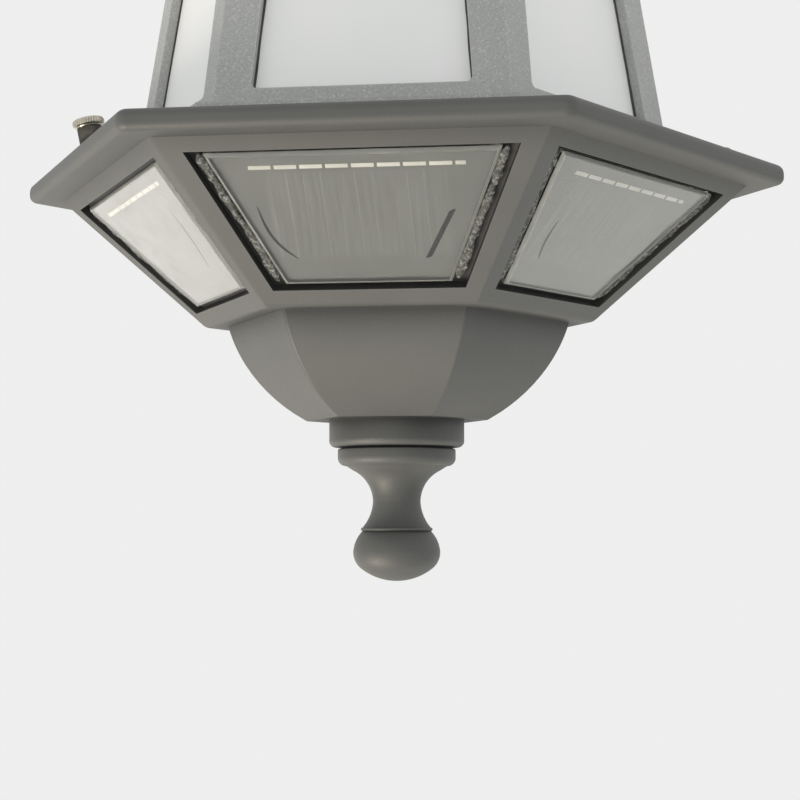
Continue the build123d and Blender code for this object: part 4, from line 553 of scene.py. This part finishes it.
class LanternSizes(PropertyGroup):
    """Sizes of the dressed pieces."""
    bead_width: length_setting("Sealant width", "Mean width of a bead of panel sealant", 2.6)
    bead_lump: length_setting("Sealant unevenness", "How far a bead's surface swells and sinks", 0.32)
    ribbon_width: length_setting("Ribbon width", "Width of the silver ribbon printed on the cells", 1.15)
    ribbon_pitch: length_setting("Ribbon pitch", "Distance from one dash of the ribbon to the next", 6.6)
    glazing_width: length_setting("Glazing bead width", "Width of the dark bead round a frosted pane", 0.7)
    knurls: IntProperty(
        name="Knurls", description="Ridges round the thumb screw's head", default=36, min=12)
    knurl_depth: length_setting("Knurl depth", "Depth of the grooves between the ridges", 0.25)


class LanternColours(PropertyGroup):
    """Colours of the finishes."""
    head: colour_setting("Head", "Powder coat of the head and the finial", "#535452")
    cage: colour_setting("Cage", "Powder coat of the cage, cap, arm and plate", "#a3a4a3")
    cells: colour_setting("Cells", "Face of the solar cells", "#838481")
    glass: colour_setting("Glass", "Etched glass of the panes", "#fafcfb")
    wrap: colour_setting("Battery wrap", "Shrink wrap of the battery cell", "#2f5f9e")


class LanternStage(PropertyGroup):
    """Stage and light."""
    floor_height: FloatProperty(
        name="Floor", description="Height of the floor", default=-1.9, unit="LENGTH")
    surroundings: FloatProperty(
        name="Surroundings", description="Brightness of the pale room", default=0.96, min=0)
    key_power: FloatProperty(
        name="Key light", description="Power of the large light in front, in watts",
        default=1.0, min=0)
    side_power: FloatProperty(
        name="Side light", description="Power of the warm light at the left, in watts",
        default=20.0, min=0)
    panel_power: FloatProperty(
        name="Panels", description="Power of the soft panel at the left behind, in watts",
        default=1.6, min=0)


# ---- Operators -------------------------------------------------------------------------------

def coat(material, *names):
    """Give CAD nodes a material."""
    for name in names:
        nodes = frame["nodes"][name].data.materials
        nodes.clear()
        nodes.append(material)


def nodes_of(slot):
    """CAD nodes that take their finish from one of the record's slots."""
    return [part["node"] for part in frame["record"]["subparts"] if part["material_slot"] == slot]


class LANTERN_OT_castings(Operator):
    """Powder coat on the castings: smooth on the head and finial, sandy on the others"""
    bl_idname = "lantern.castings"
    bl_label = "Castings"

    def execute(self, context):
        colours = context.scene.lantern_colours
        smooth = ("head_shell", "finial")
        # Last setting: painted shade in inner corners, strong on the head's coat and none on the cage's
        fine = powder_coat("fine_powder_coat", tuple(colours.head), 0.3, 0.03, 0.05, 0.0, 0.7)
        # The sandy coat's lighter flecks are painted glints for its sparkle; the fine coat has none
        sandy = powder_coat("sandy_powder_coat", tuple(colours.cage), 0.42, 0.09, 0.17, 0.3, 0.0)
        coat(fine, *smooth)
        coat(sandy, *(name for name in nodes_of("powder_coated_casting") if name not in smooth))
        return {"FINISHED"}


class LANTERN_OT_steelwork(Operator):
    """Zinc plate on the bracket, clips, hinge, studs and nuts, and black and white mouldings"""
    bl_idname = "lantern.steelwork"
    bl_label = "Steelwork and mouldings"

    def execute(self, context):
        # Bright zinc with a faint straw passivation: bluish grey that clouds to warm grey
        zinc = plated("zinc_plated_steel", linear("#b9bab8"), 0.34, linear("#a9a598"), 0.3)
        coat(zinc, *nodes_of("zinc_plated_steel"))
        # Bright nickel: warmer and glossier than zinc
        nickel = plated("nickel_plated_brass", linear("#cbc6ba"), 0.2, linear("#b8b1a2"), 0.25)
        coat(nickel, *nodes_of("nickel_plated_screw"))
        # EPDM rubber: near black, dull, with a fine moulded tooth
        rubber = moulded("epdm_rubber", linear("#232323"), 0.75, 0.5, 0.05)
        coat(rubber, *nodes_of("black_rubber"))
        # ABS moulded satin white, as on the battery box
        white = moulded("white_abs", linear("#dcdbd6"), 0.4, 0.35, 0.02)
        coat(white, *nodes_of("white_plastic"))
        # Nylon moulded black, with a satin tooth
        black = moulded("black_nylon", linear("#26272a"), 0.45, 0.4, 0.03)
        coat(black, *nodes_of("black_plastic"))
        return {"FINISHED"}


class LANTERN_OT_panes(Operator):
    """Etched glass of the six panes"""
    bl_idname = "lantern.panes"
    bl_label = "Frosted panes"

    def execute(self, context):
        glass = acid_etched_glass("acid_etched_glass", tuple(context.scene.lantern_colours.glass))
        coat(glass, *nodes_of("frosted_glass"))
        return {"FINISHED"}


class LANTERN_OT_glazing(Operator):
    """Thin dark bead, uneven by hand, in the joint between each pane and its window"""
    bl_idname = "lantern.glazing"
    bl_label = "Glazing beads"

    def execute(self, context):
        half = context.scene.lantern_sizes.glazing_width / MM / 2
        patches = []
        for side in range(SIDES):
            place = side_plane(side, CAGE_FOOT, CAGE_HEAD)
            path = rounded_path(cage_window(0.0), 0.6, 0.8)
            step = steps(path)
            step[-1] = step[0]
            path = path + np.stack([-step[:, 1], step[:, 0]], 1) * half * 0.5
            turn = np.linspace(0, 2 * np.pi, len(path))
            swell = 1 + 0.45 * unevenness(side, 9 * np.cos(turn), 9 * np.sin(turn), 4 * np.sin(2 * turn))
            patches.append(drawn(
                place, path, step, half * 0.6 - PANE_FACE, half * np.clip(swell, 0.3, 2), half * 0.8))
        # Butyl glazing tape: soft, nearly black and dull
        tape = moulded("butyl_glazing", linear("#3a3a37"), 0.6, 0.6, 0.05)
        piece("glazing_beads", patches, tape, "lantern", "black_rubber")
        return {"FINISHED"}


class LANTERN_OT_solar_boards(Operator):
    """Six boards of laminated cells, and the clear covers on them with their milled bevels"""
    bl_idname = "lantern.solar_boards"
    bl_label = "Solar boards"

    def execute(self, context):
        cells = silicon_cells("laminated_silicon", tuple(context.scene.lantern_colours.cells))
        top = BOARD_TOP - COVER_GAP
        foot, skin = COVER_TOP - COVER_BEVEL, 0.03
        section = np.array([
            (0, foot), (0, foot + skin), (COVER_BEVEL, COVER_TOP + skin), (COVER_BEVEL, COVER_TOP),
            (0, foot)])
        rims = []
        for side in range(SIDES):
            place = side_plane(side, SLOPE_END, CREASE)
            outline = panel_outline(PANEL_SIDE_GAP, PANEL_END_GAP)
            patch, flat = slab(place, outline, [(0, -WINDOW_DEPTH), (0, top - 0.1), (0.1, top)])
            piece(f"cell_board_{side + 1}", [patch], cells, "head", "solar_cells",
                  f"solar_board_{side + 1}", places=[flat])
            # The bevel's section is carried round the panel, closed at its first corner
            rows = outline + inward(outline) * section[:, :1, None]
            rows = np.concatenate([rows, rows[:, :1]], 1)
            rims.append(on(place, rows[..., 0], rows[..., 1], section[:, 1:] + 0 * rows[..., 0]))
        coat(clear_acrylic("cast_acrylic"), *nodes_of("clear_cover"))
        # Milled acrylic: a thin matt skin, white from fine scratches
        milled = moulded("milled_acrylic", linear("#d2d4d0"), 0.5, 0.5, 0.05, Transmission_Weight=0.3)
        piece("cover_bevels", rims, milled, "head", "clear_cover")
        return {"FINISHED"}


class LANTERN_OT_ribbons(Operator):
    """Silver ribbon printed in dashes across the head of each board, and a pair of dark leads"""
    bl_idname = "lantern.ribbons"
    bl_label = "Ribbons and leads"

    def execute(self, context):
        sizes = context.scene.lantern_sizes
        pitch, width = sizes.ribbon_pitch / MM, sizes.ribbon_width / MM
        levels = [(0, PRINT_FOOT), (0, PRINT_TOP - 0.02), (0.05, PRINT_TOP)]
        share = np.linspace(0, 1, 40)[:, None]
        swell = np.sin(np.pi * share[:, 0]) ** 0.5
        dashes, leads = [], []
        for side in range(SIDES):
            place = side_plane(side, SLOPE_END, CREASE)
            for dash in range(DASHES):
                length = pitch - DASH_GAP if dash < DASHES - 1 else LAST_DASH
                outline = box_outline(length, width) + (DASH_START + dash * pitch + length / 2, DASH_ROW)
                dashes.append(slab(place, outline, levels)[0])
            for foot, head, bow, half in LEADS.get(side, LEADS[0]):
                foot, head = np.array(foot), np.array(head)
                bent = np.sin(np.pi * share) * (bow, -abs(bow))
                strokes = [foot * (1 - share) + head * share + bent]
                if half > HATCHED_FROM:
                    # Hatched: short strokes that cross the way from foot to head
                    way = (head - foot) / np.linalg.norm(head - foot)
                    slant = np.array([way[0] + 0.5 * way[1], way[1] - 0.5 * way[0]])
                    centres = foot + (head - foot) * np.linspace(0.06, 0.96, 13)[:, None]
                    strokes = [centre + slant * (share - 0.5) * 2.3 * half for centre in centres]
                leads += [
                    drawn(place, path, steps(path), (PRINT_FOOT + PRINT_TOP) / 2,
                          min(half, STROKE_HALF) * swell, STROKE_RISE * swell) for path in strokes]
        # Screen-printed silver paste: chalky white, with the screen's fine tooth; the dull white stands in
        # for the silver's bright shine, a painted reflection
        silver = moulded("printed_silver", linear("#f7f5ec"), 0.5, 0.3, 0.02)
        piece("cell_ribbons", dashes, silver, "head", "solar_cells")
        # Printed conductive paste: dark grey and dull, with a woven screen's marks
        paste = moulded("printed_paste", linear("#1f2024"), 0.55, 0.3, 0.05)
        piece("cell_leads", leads, paste, "head", "solar_cells")
        return {"FINISHED"}


class LANTERN_OT_sealant(Operator):
    """Lumpy beads of clear silicone at both sides of each panel"""
    bl_idname = "lantern.sealant"
    bl_label = "Panel sealant"

    def execute(self, context):
        sizes = context.scene.lantern_sizes
        lump = sizes.bead_lump / MM
        end = PANEL_END_GAP + 0.2
        up = np.linspace(WINDOW_FOOT + end, WINDOW_HEAD - end, 130)[:, None]
        turn = np.linspace(0, 2 * np.pi, 21)
        share = np.linspace(0, 1, len(up))[:, None]
        ends = np.clip(np.minimum(share, 1 - share) * 16, 0, 1) ** 0.5
        patches = []
        for side in range(SIDES):
            place = side_plane(side, SLOPE_END, CREASE)
            # The front's beads are thin and leave a dark gap beside them
            half = sizes.bead_width / MM / 2 * (1.0 if side == 0 else 1.3)
            for hand in (-1, 1):
                seed = 2 * side + (hand > 0)
                coarse = unevenness(seed, up / 1.1, 1.6 * np.cos(turn), 1.6 * np.sin(turn))
                fine = unevenness(20 + seed, up / 0.45, 3 * np.cos(turn), 3 * np.sin(turn))
                rough = lump * (coarse + 0.4 * fine)
                wander = 0.35 * unevenness(40 + seed, up / 5)
                wide = np.clip((half + rough) * np.cos(turn) + wander, -2.0, 2.0) * ends
                high = (1.0 + 0.7 * rough) * np.sin(turn) * ends
                middle = hand * (window_half(up) - PANEL_SIDE_GAP + half + 0.25)
                lift = np.clip(-WINDOW_DEPTH + 0.95 + high, -WINDOW_DEPTH + 0.02, -0.15)
                patches.append(on(place, middle + wide, up + 0 * turn, lift))
        clear = silicone_sealant("clear_silicone", linear("#a9aaa6"))
        piece("sealant_beads", patches, clear, "head", "clear_silicone", "panel_sealant", sharp=80)
        return {"FINISHED"}


class LANTERN_OT_thumb_screw(Operator):
    """Thumb screw with a knurled head, a turned shoulder and a rolled thread"""
    bl_idname = "lantern.thumb_screw"
    bl_label = "Thumb screw"

    def execute(self, context):
        sizes = context.scene.lantern_sizes
        count, depth = sizes.knurls, sizes.knurl_depth / MM
        lean, rise = math.sin(SCREW_LEAN), math.cos(SCREW_LEAN)
        place = plane(AXIS + (-SCREW_CIRCLE, 0, 0), (rise, 0, lean), (0, 1, 0), (-lean, 0, rise))
        # Turned profile of the thin head: underside, knurled rim and domed top
        profile = np.array([
            (0, 17.15), (3.7, 17.2), (3.85, 17.5), (4.3, 17.56), (4.6, 17.75), (4.78, 18.1), (4.8, 18.3),
            (4.8, 18.9), (4.78, 19.1), (4.6, 19.45), (4.3, 19.62), (3.8, 19.7), (2.4, 19.77), (0, 19.8)])
        knurled = np.interp(np.arange(len(profile)), [4, 5.2, 7.8, 9], [0, 1, 1, 0])[:, None]

        def knurl(radius, height, turn):
            return radius - depth * knurled * (1 - np.abs(np.sin(count * turn / 2))) ** 0.8, height

        head = turned(place, profile[:, 0], profile[:, 1], count * 12, knurl)
        shank = threaded(place, 2.0, -5.0, 14.0, 0.7, 0.25, 40)
        nickel = plated("nickel_plated_screw", linear("#cfcabd"), 0.24, linear("#b3ac9c"), 0.25)
        piece("knurled_thumb_screw", [head, shank], nickel, "thumb_screw", "nickel_plated_screw",
              "thumb_screw", sharp=30)
        # The shoulder is darker: brown-grey and duller, painted shade under the head
        stem = np.array([(0, 10.95), (3.5, 10.95), (3.75, 11.2), (3.75, 17.0), (3.6, 17.2), (0, 17.25)])
        painted_shade_stem = plated("shaded_stem_nickel", linear("#66625b"), 0.45, linear("#4b4843"), 0.3)
        piece("screw_shoulder", [turned(place, stem[:, 0], stem[:, 1], 64)], painted_shade_stem, "thumb_screw",
              "nickel_plated_screw", "thumb_screw", sharp=30)
        return {"FINISHED"}


def cross_screw(place, head_radius, head_height, shank_radius, length, pitch):
    """Pan-head screw with a cross recess, its head above the plane and its shank below. The
    head's height at radius r is a flat dome's, less the recess where either |x| or |y| is
    small, which tapers towards the middle."""
    rings = np.r_[np.linspace(0, head_radius * 0.98, 26), head_radius, head_radius, 0.0]
    crown = 0.7 + 0.3 * (1 - (rings / head_radius) ** 2)
    heights = np.r_[head_height * crown[:26], head_height * 0.6, 0.0, 0.0]
    reach, half = head_radius * 0.62, head_radius * 0.13

    def recess(radius, height, turn):
        x, y = np.abs(radius * np.cos(turn)), np.abs(radius * np.sin(turn))
        wall = np.clip((half - np.minimum(x, y)) / (0.25 * half), 0, 1)
        taper = np.clip((reach - np.maximum(x, y)) / (0.5 * reach), 0, 1)
        rows = np.arange(len(radius))[:, None] < 26
        return radius, height - 0.6 * head_height * wall * taper * rows

    head = turned(place, rings, heights, 64, recess)
    return [head, threaded(place, shank_radius, -length, 0.05, pitch, 0.12 * shank_radius, 20)]


class LANTERN_OT_screws(Operator):
    """Cross-recess screws in the head plate, the diffuser, the hinge and the arm"""
    bl_idname = "lantern.screws"
    bl_label = "Screws"

    def execute(self, context):
        steel = bpy.data.materials["zinc_plated_steel"]
        on_hinge = [level_plane(HINGE_SCREW_PLACE, side, 1.2)
                    for side in (-HINGE_SCREW_SIDE, HINGE_SCREW_SIDE)]
        # The arm's screws stand inside the wall plate, their heads towards the wall
        on_arm = [plane((0, ARM_SCREW_FACE, z), (1, 0, 0), (0, 0, -1), (0, 1, 0))
                  for z in (-ARM_SCREW_RISE, ARM_SCREW_RISE)]
        # Sizes of a screw: radius and height of its head, radius, length and pitch of its shank
        for name, places, sizes, body, screws in (
                ("plate_screws", level_ring(PLATE_SCREW_CIRCLE, (60, 120, 240, 300), 0.0),
                 (3.5, 2.2, 2.0, 12.0, 0.7), "head", "head_screws"),
                ("dome_screws", level_ring(DOME_SCREW_CIRCLE, (30, 150, 270), 1.5),
                 (1.9, 0.95, 1.0, 3.5, 0.4), "head", "diffuser_screws"),
                ("hinge_screws", on_hinge, (2.0, 0.6, 1.2, 5.2, 0.45), "head", "tongue_screws"),
                ("flange_screws", on_arm, (3.6, 2.4, 2.0, 9.5, 0.7), "lantern", "arm_screws")):
            patches = [patch for place in places for patch in cross_screw(place, *sizes)]
            piece(name, patches, steel, body, "zinc_plated_steel", screws)
        return {"FINISHED"}


class LANTERN_OT_light(Operator):
    """Light source: white board, seven chips with phosphor lenses and the opal dome"""
    bl_idname = "lantern.light"
    bl_label = "Light source"

    def execute(self, context):
        # White solder mask on an aluminium-core board: chalky and even
        board = moulded("white_mask_board", linear("#dddcd6"), 0.45, 0.8, 0.02)
        coat(board, *nodes_of("led_board"))
        # Opal polycarbonate: milky, lets light through
        opal = moulded(
            "opal_polycarbonate", linear("#e6e6e0"), 0.4, 0.4, 0.02, Transmission_Weight=0.35)
        coat(opal, *nodes_of("opal_plastic"))
        levels = [(0, 0), (0, 0.5), (0.1, 0.6), (0.35, 0.6), (0.5, 0.45)]
        # Lens: quarter ellipse turned round, 2.4 mm wide and 0.39 mm high
        share = np.linspace(0, 1, 8) * np.pi / 2
        radius, height = 1.2 * np.cos(share), 0.4 + 0.39 * np.sin(share)
        places = [level_plane(0, 0, CHIP_FOOT), *level_ring(CHIP_CIRCLE, range(0, 360, 60), CHIP_FOOT)]
        bodies = [slab(place, box_outline(3.5, 3.5, 0.3), levels)[0] for place in places]
        lenses = [turned(place, np.r_[0, radius], np.r_[0.4, height], 32) for place in places]
        package = moulded("reflector_plastic", linear("#ece9df"), 0.35, 0.4, 0.01)
        piece("chip_packages", bodies, package, "head", "light_chip", "led_chips")
        # Silicone gel with yellow phosphor: matt, egg-yolk yellow
        phosphor = moulded("phosphor_gel", linear("#e3b93c"), 0.35, 0.2, 0.01)
        piece("chip_lenses", lenses, phosphor, "head", "light_chip", "led_chips")
        return {"FINISHED"}


class LANTERN_OT_battery(Operator):
    """Battery cell: steel can with its button, in a shrink wrap drawn over both ends"""
    bl_idname = "lantern.battery"
    bl_label = "Battery cell"

    def execute(self, context):
        place = plane(AXIS + CELL_PLACE, (0, 1, 0), UP, (1, 0, 0))
        can = np.array([
            (0, -CELL_HALF), (7.8, -CELL_HALF), (8.6, -32.2), (8.9, -31.6), (8.9, 26.5), (8.2, 27.3),
            (8.2, 28.1), (8.9, 28.9), (8.9, 30.8), (8.5, 31.3), (7.6, 31.4), (6.2, 31.2), (4.4, 31.2),
            (3.4, 31.3), (3.2, 31.6), (3.15, 32.3), (2.9, CELL_HALF), (0, CELL_HALF)])
        nickel = bpy.data.materials["nickel_plated_brass"]
        piece("cell_can", [turned(place, can[:, 0], can[:, 1], 64)], nickel, "head", "battery_wrap",
              "battery_cell")
        outside = np.array([
            (6.9, 31.45), (7.8, 31.75), (8.8, 31.45), (9.15, 30.8), (9.15, 29.0), (8.6, 28.2),
            (8.6, 27.3), (9.15, 26.4), (9.17, 0), (9.15, -31.6), (8.8, -32.35), (7.9, -CELL_HALF),
            (7.0, -CELL_HALF)])
        inside = outside[::-1] - (WRAP_THICKNESS, 0)
        section = np.vstack([outside, inside, outside[:1]])
        film = moulded("pvc_shrink_wrap", tuple(context.scene.lantern_colours.wrap), 0.25, 1.5, 0.06)
        piece("cell_wrap", [turned(place, section[:, 0], section[:, 1], 64)], film, "head",
              "battery_wrap", "battery_cell")
        return {"FINISHED"}


class LANTERN_OT_controls(Operator):
    """Charging board, its chip with bent leads, and two capacitors in their sleeves"""
    bl_idname = "lantern.controls"
    bl_label = "Control board"

    def execute(self, context):
        coat(glass_fibre_board("green_fr4", linear("#1c5a32")), "control_board")
        left, middle, right = (
            plane(AXIS + (x, BOARD_PLACE, BOARD_FACE), (1, 0, 0), (0, -1, 0), (0, 0, -1))
            for x in (-CAPACITOR_SIDE, 0, CAPACITOR_SIDE))
        profile = np.array([
            (0, 0), (3.7, 0), (3.95, 0.25), (3.95, 0.9), (3.75, 1.15), (3.75, 1.5), (3.95, 1.8),
            (3.95, 7.3), (3.7, 7.7), (3.3, 7.85), (3.1, 7.7), (0, 7.7)])
        cans = [turned(place, profile[:, 0], profile[:, 1], 48) for place in (left, right)]
        # Heat-shrink sleeve on an aluminium can: dark slate and slightly glossy
        sleeve = moulded("capacitor_sleeve", linear("#30343c"), 0.3, 0.6, 0.03)
        piece("capacitors", cans, sleeve, "head", "black_plastic", "control_components")
        levels = [(0.25, 0.25), (0, 1.1), (0.25, 2.05), (0.4, 2.15)]
        body = slab(middle, box_outline(14, 7.4), levels)[0]
        # Epoxy moulding compound: black with a fine grey grit
        epoxy = moulded("moulded_epoxy", linear("#1d1e20"), 0.5, 0.25, 0.03)
        piece("charge_chip", [body], epoxy, "head", "black_plastic", "control_components")
        # Gull wing: out of the body, down an S curve and flat on the board
        share = np.linspace(0, 1, LEAD_POINTS)
        high = 1.05 - 0.95 / (1 + np.exp(-(share - 0.45) * 16))
        ends = np.r_[0, np.ones(LEAD_POINTS - 2), 0]
        step = np.tile((0.0, -1.0), (LEAD_POINTS, 1))
        leads = []
        for hand in (-1, 1):
            for lead in range(CHIP_LEADS):
                row = np.full(LEAD_POINTS, (lead - CHIP_LEADS // 2) * LEAD_PITCH)
                path = np.stack([row, hand * (3.6 + 1.05 * share)], 1)
                leads.append(drawn(middle, path, step, high, 0.25 * ends, 0.1 * ends))
        piece("chip_leads", leads, bpy.data.materials["zinc_plated_steel"], "head", "zinc_plated_steel",
              "control_components")
        return {"FINISHED"}


class LANTERN_OT_stage(Operator):
    """Pale floor, soft light and the camera at the photograph's angle"""
    bl_idname = "lantern.stage"
    bl_label = "Stage, light and camera"

    def execute(self, context):
        scene, stage = context.scene, context.scene.lantern_stage
        # Floor: a wide disc, from its middle to its rim
        turn = np.linspace(0, 2 * np.pi, 97)
        radius = np.array([0.0, 2.0, 4.0, 6.0, 9.0])[:, None]
        disc = np.stack([
            radius * np.cos(turn), radius * np.sin(turn), 0 * radius * turn + stage.floor_height], -1)
        mesh = bpy.data.meshes.new("floor")
        index = np.arange(disc.shape[0] * disc.shape[1]).reshape(disc.shape[:2])
        corners = (index[:-1, :-1], index[1:, :-1], index[1:, 1:], index[:-1, 1:])
        mesh.from_pydata(disc.reshape(-1, 3).tolist(), [], np.stack(corners, -1).reshape(-1, 4).tolist())
        floor = bpy.data.objects.new("floor", mesh)
        scene.collection.objects.link(floor)
        paper, tree, shader = new_finish("studio_paper", linear("#e4e3df"), Roughness=0.8)
        place = node(tree, "TexCoord").outputs["Object"]
        fibres = node(tree, "TexNoise", {"Vector": place, "Scale": 3.0, "Detail": 3.0}).outputs["Fac"]
        mix = node(tree, "MixRGB", {"Fac": fibres, **shades(linear("#e4e3df"), 0.98, 1.02)})
        tree.links.new(mix.outputs["Color"], shader.inputs["Base Color"])
        # The floor fades into the room from 3 to 8 m away, so that no horizon shows
        away = node(tree, "VectorMath", {0: place}, operation="LENGTH").outputs["Value"]
        fade = node(tree, "MapRange", {0: away, 1: 3.0, 2: 8.0, 3: 1.0, 4: 0.0}).outputs[0]
        tree.links.new(fade, shader.inputs["Alpha"])
        mesh.materials.append(paper)

        world = bpy.data.worlds.new("pale_room")
        world.use_nodes = True
        world.node_tree.nodes.clear()
        room = node(world.node_tree, "Background", {
            "Color": (*linear("#f2f3f2"), 1.0), "Strength": stage.surroundings})
        node(world.node_tree, "OutputWorld", {"Surface": room.outputs["Background"]})
        scene.world = world

        # Lights: place, aim, diameter in metres, power in watts and tint
        left, right = stage.panel_power, 0.7 * stage.panel_power
        for name, spot, aim, size, power, tint in (
                ("key_light", (0.1, -1.5, -0.8), (0, -0.14, -0.24), 0.9, stage.key_power, "#fffdf8"),
                ("side_light", (-0.83, -0.64, -1.32), (-0.05, -0.17, -0.24), 0.8, stage.side_power,
                 "#fff2e2"),
                ("left_panel", (-0.97, 1.0, -0.62), (-0.06, -0.17, -0.24), 1.1, left, "#fff6ea"),
                ("right_panel", (0.9, 0.8, -1.02), (0.06, -0.17, -0.24), 1.0, right, "#fffdf8")):
            light = bpy.data.lights.new(name, "AREA")
            light.shape, light.size = "DISK", size
            light.energy, light.color = power, linear(tint)
            lamp = bpy.data.objects.new(name, light)
            lamp.location = spot
            lamp.rotation_euler = (Vector(aim) - Vector(spot)).to_track_quat("-Z", "Y").to_euler()
            lamp.visible_camera = False
            scene.collection.objects.link(lamp)

        # Camera fitted to the corners of the eave, the slopes, the windows and the dome
        pitch, yaw, turn = 0.0694, 0.0018, math.radians(7.97)
        ahead = Vector((math.sin(yaw - turn) * math.cos(pitch), math.cos(yaw - turn) * math.cos(pitch),
                        math.sin(pitch)))
        lens = bpy.data.cameras.new("camera")
        lens.lens, lens.sensor_width, lens.clip_start, lens.clip_end = 83.913, 36.0, 0.01, 50.0
        camera = bpy.data.objects.new("camera", lens)
        camera.location = (0.0750, -0.6759, -0.32276)
        camera.rotation_euler = ahead.to_track_quat("-Z", "Y").to_euler()
        scene.collection.objects.link(camera)
        scene.camera = camera
        scene.view_settings.view_transform = "Standard"
        return {"FINISHED"}


STEPS = (
    LANTERN_OT_castings, LANTERN_OT_steelwork, LANTERN_OT_panes, LANTERN_OT_glazing,
    LANTERN_OT_solar_boards, LANTERN_OT_ribbons, LANTERN_OT_sealant, LANTERN_OT_thumb_screw,
    LANTERN_OT_screws, LANTERN_OT_light, LANTERN_OT_battery, LANTERN_OT_controls, LANTERN_OT_stage)


class LANTERN_PT_steps(Panel):
    """Settings and steps of the lantern"""
    bl_idname = "LANTERN_PT_steps"
    bl_label = "Solar wall lantern"
    bl_space_type = "VIEW_3D"
    bl_region_type = "UI"
    bl_category = "Lantern"

    def draw(self, context):
        scene = context.scene
        for group in (scene.lantern_sizes, scene.lantern_colours, scene.lantern_stage):
            box = self.layout.box()
            for name in group.__annotations__:
                box.prop(group, name)
        for step in STEPS:
            self.layout.operator(step.bl_idname)


GROUPS = {
    "lantern_sizes": LanternSizes, "lantern_colours": LanternColours, "lantern_stage": LanternStage}


def register():
    for kind in (*GROUPS.values(), *STEPS, LANTERN_PT_steps):
        bpy.utils.register_class(kind)
    for name, group in GROUPS.items():
        setattr(bpy.types.Scene, name, PointerProperty(type=group))


def unregister():
    for name in GROUPS:
        delattr(bpy.types.Scene, name)
    for kind in (LANTERN_PT_steps, *reversed(STEPS), *GROUPS.values()):
        bpy.utils.unregister_class(kind)


def main():
    """Register the steps, dress the lantern and set the stage."""
    register()
    for step in STEPS:
        group, name = step.bl_idname.split(".")
        getattr(getattr(bpy.ops, group), name)()


if __name__ == "__main__":
    main()
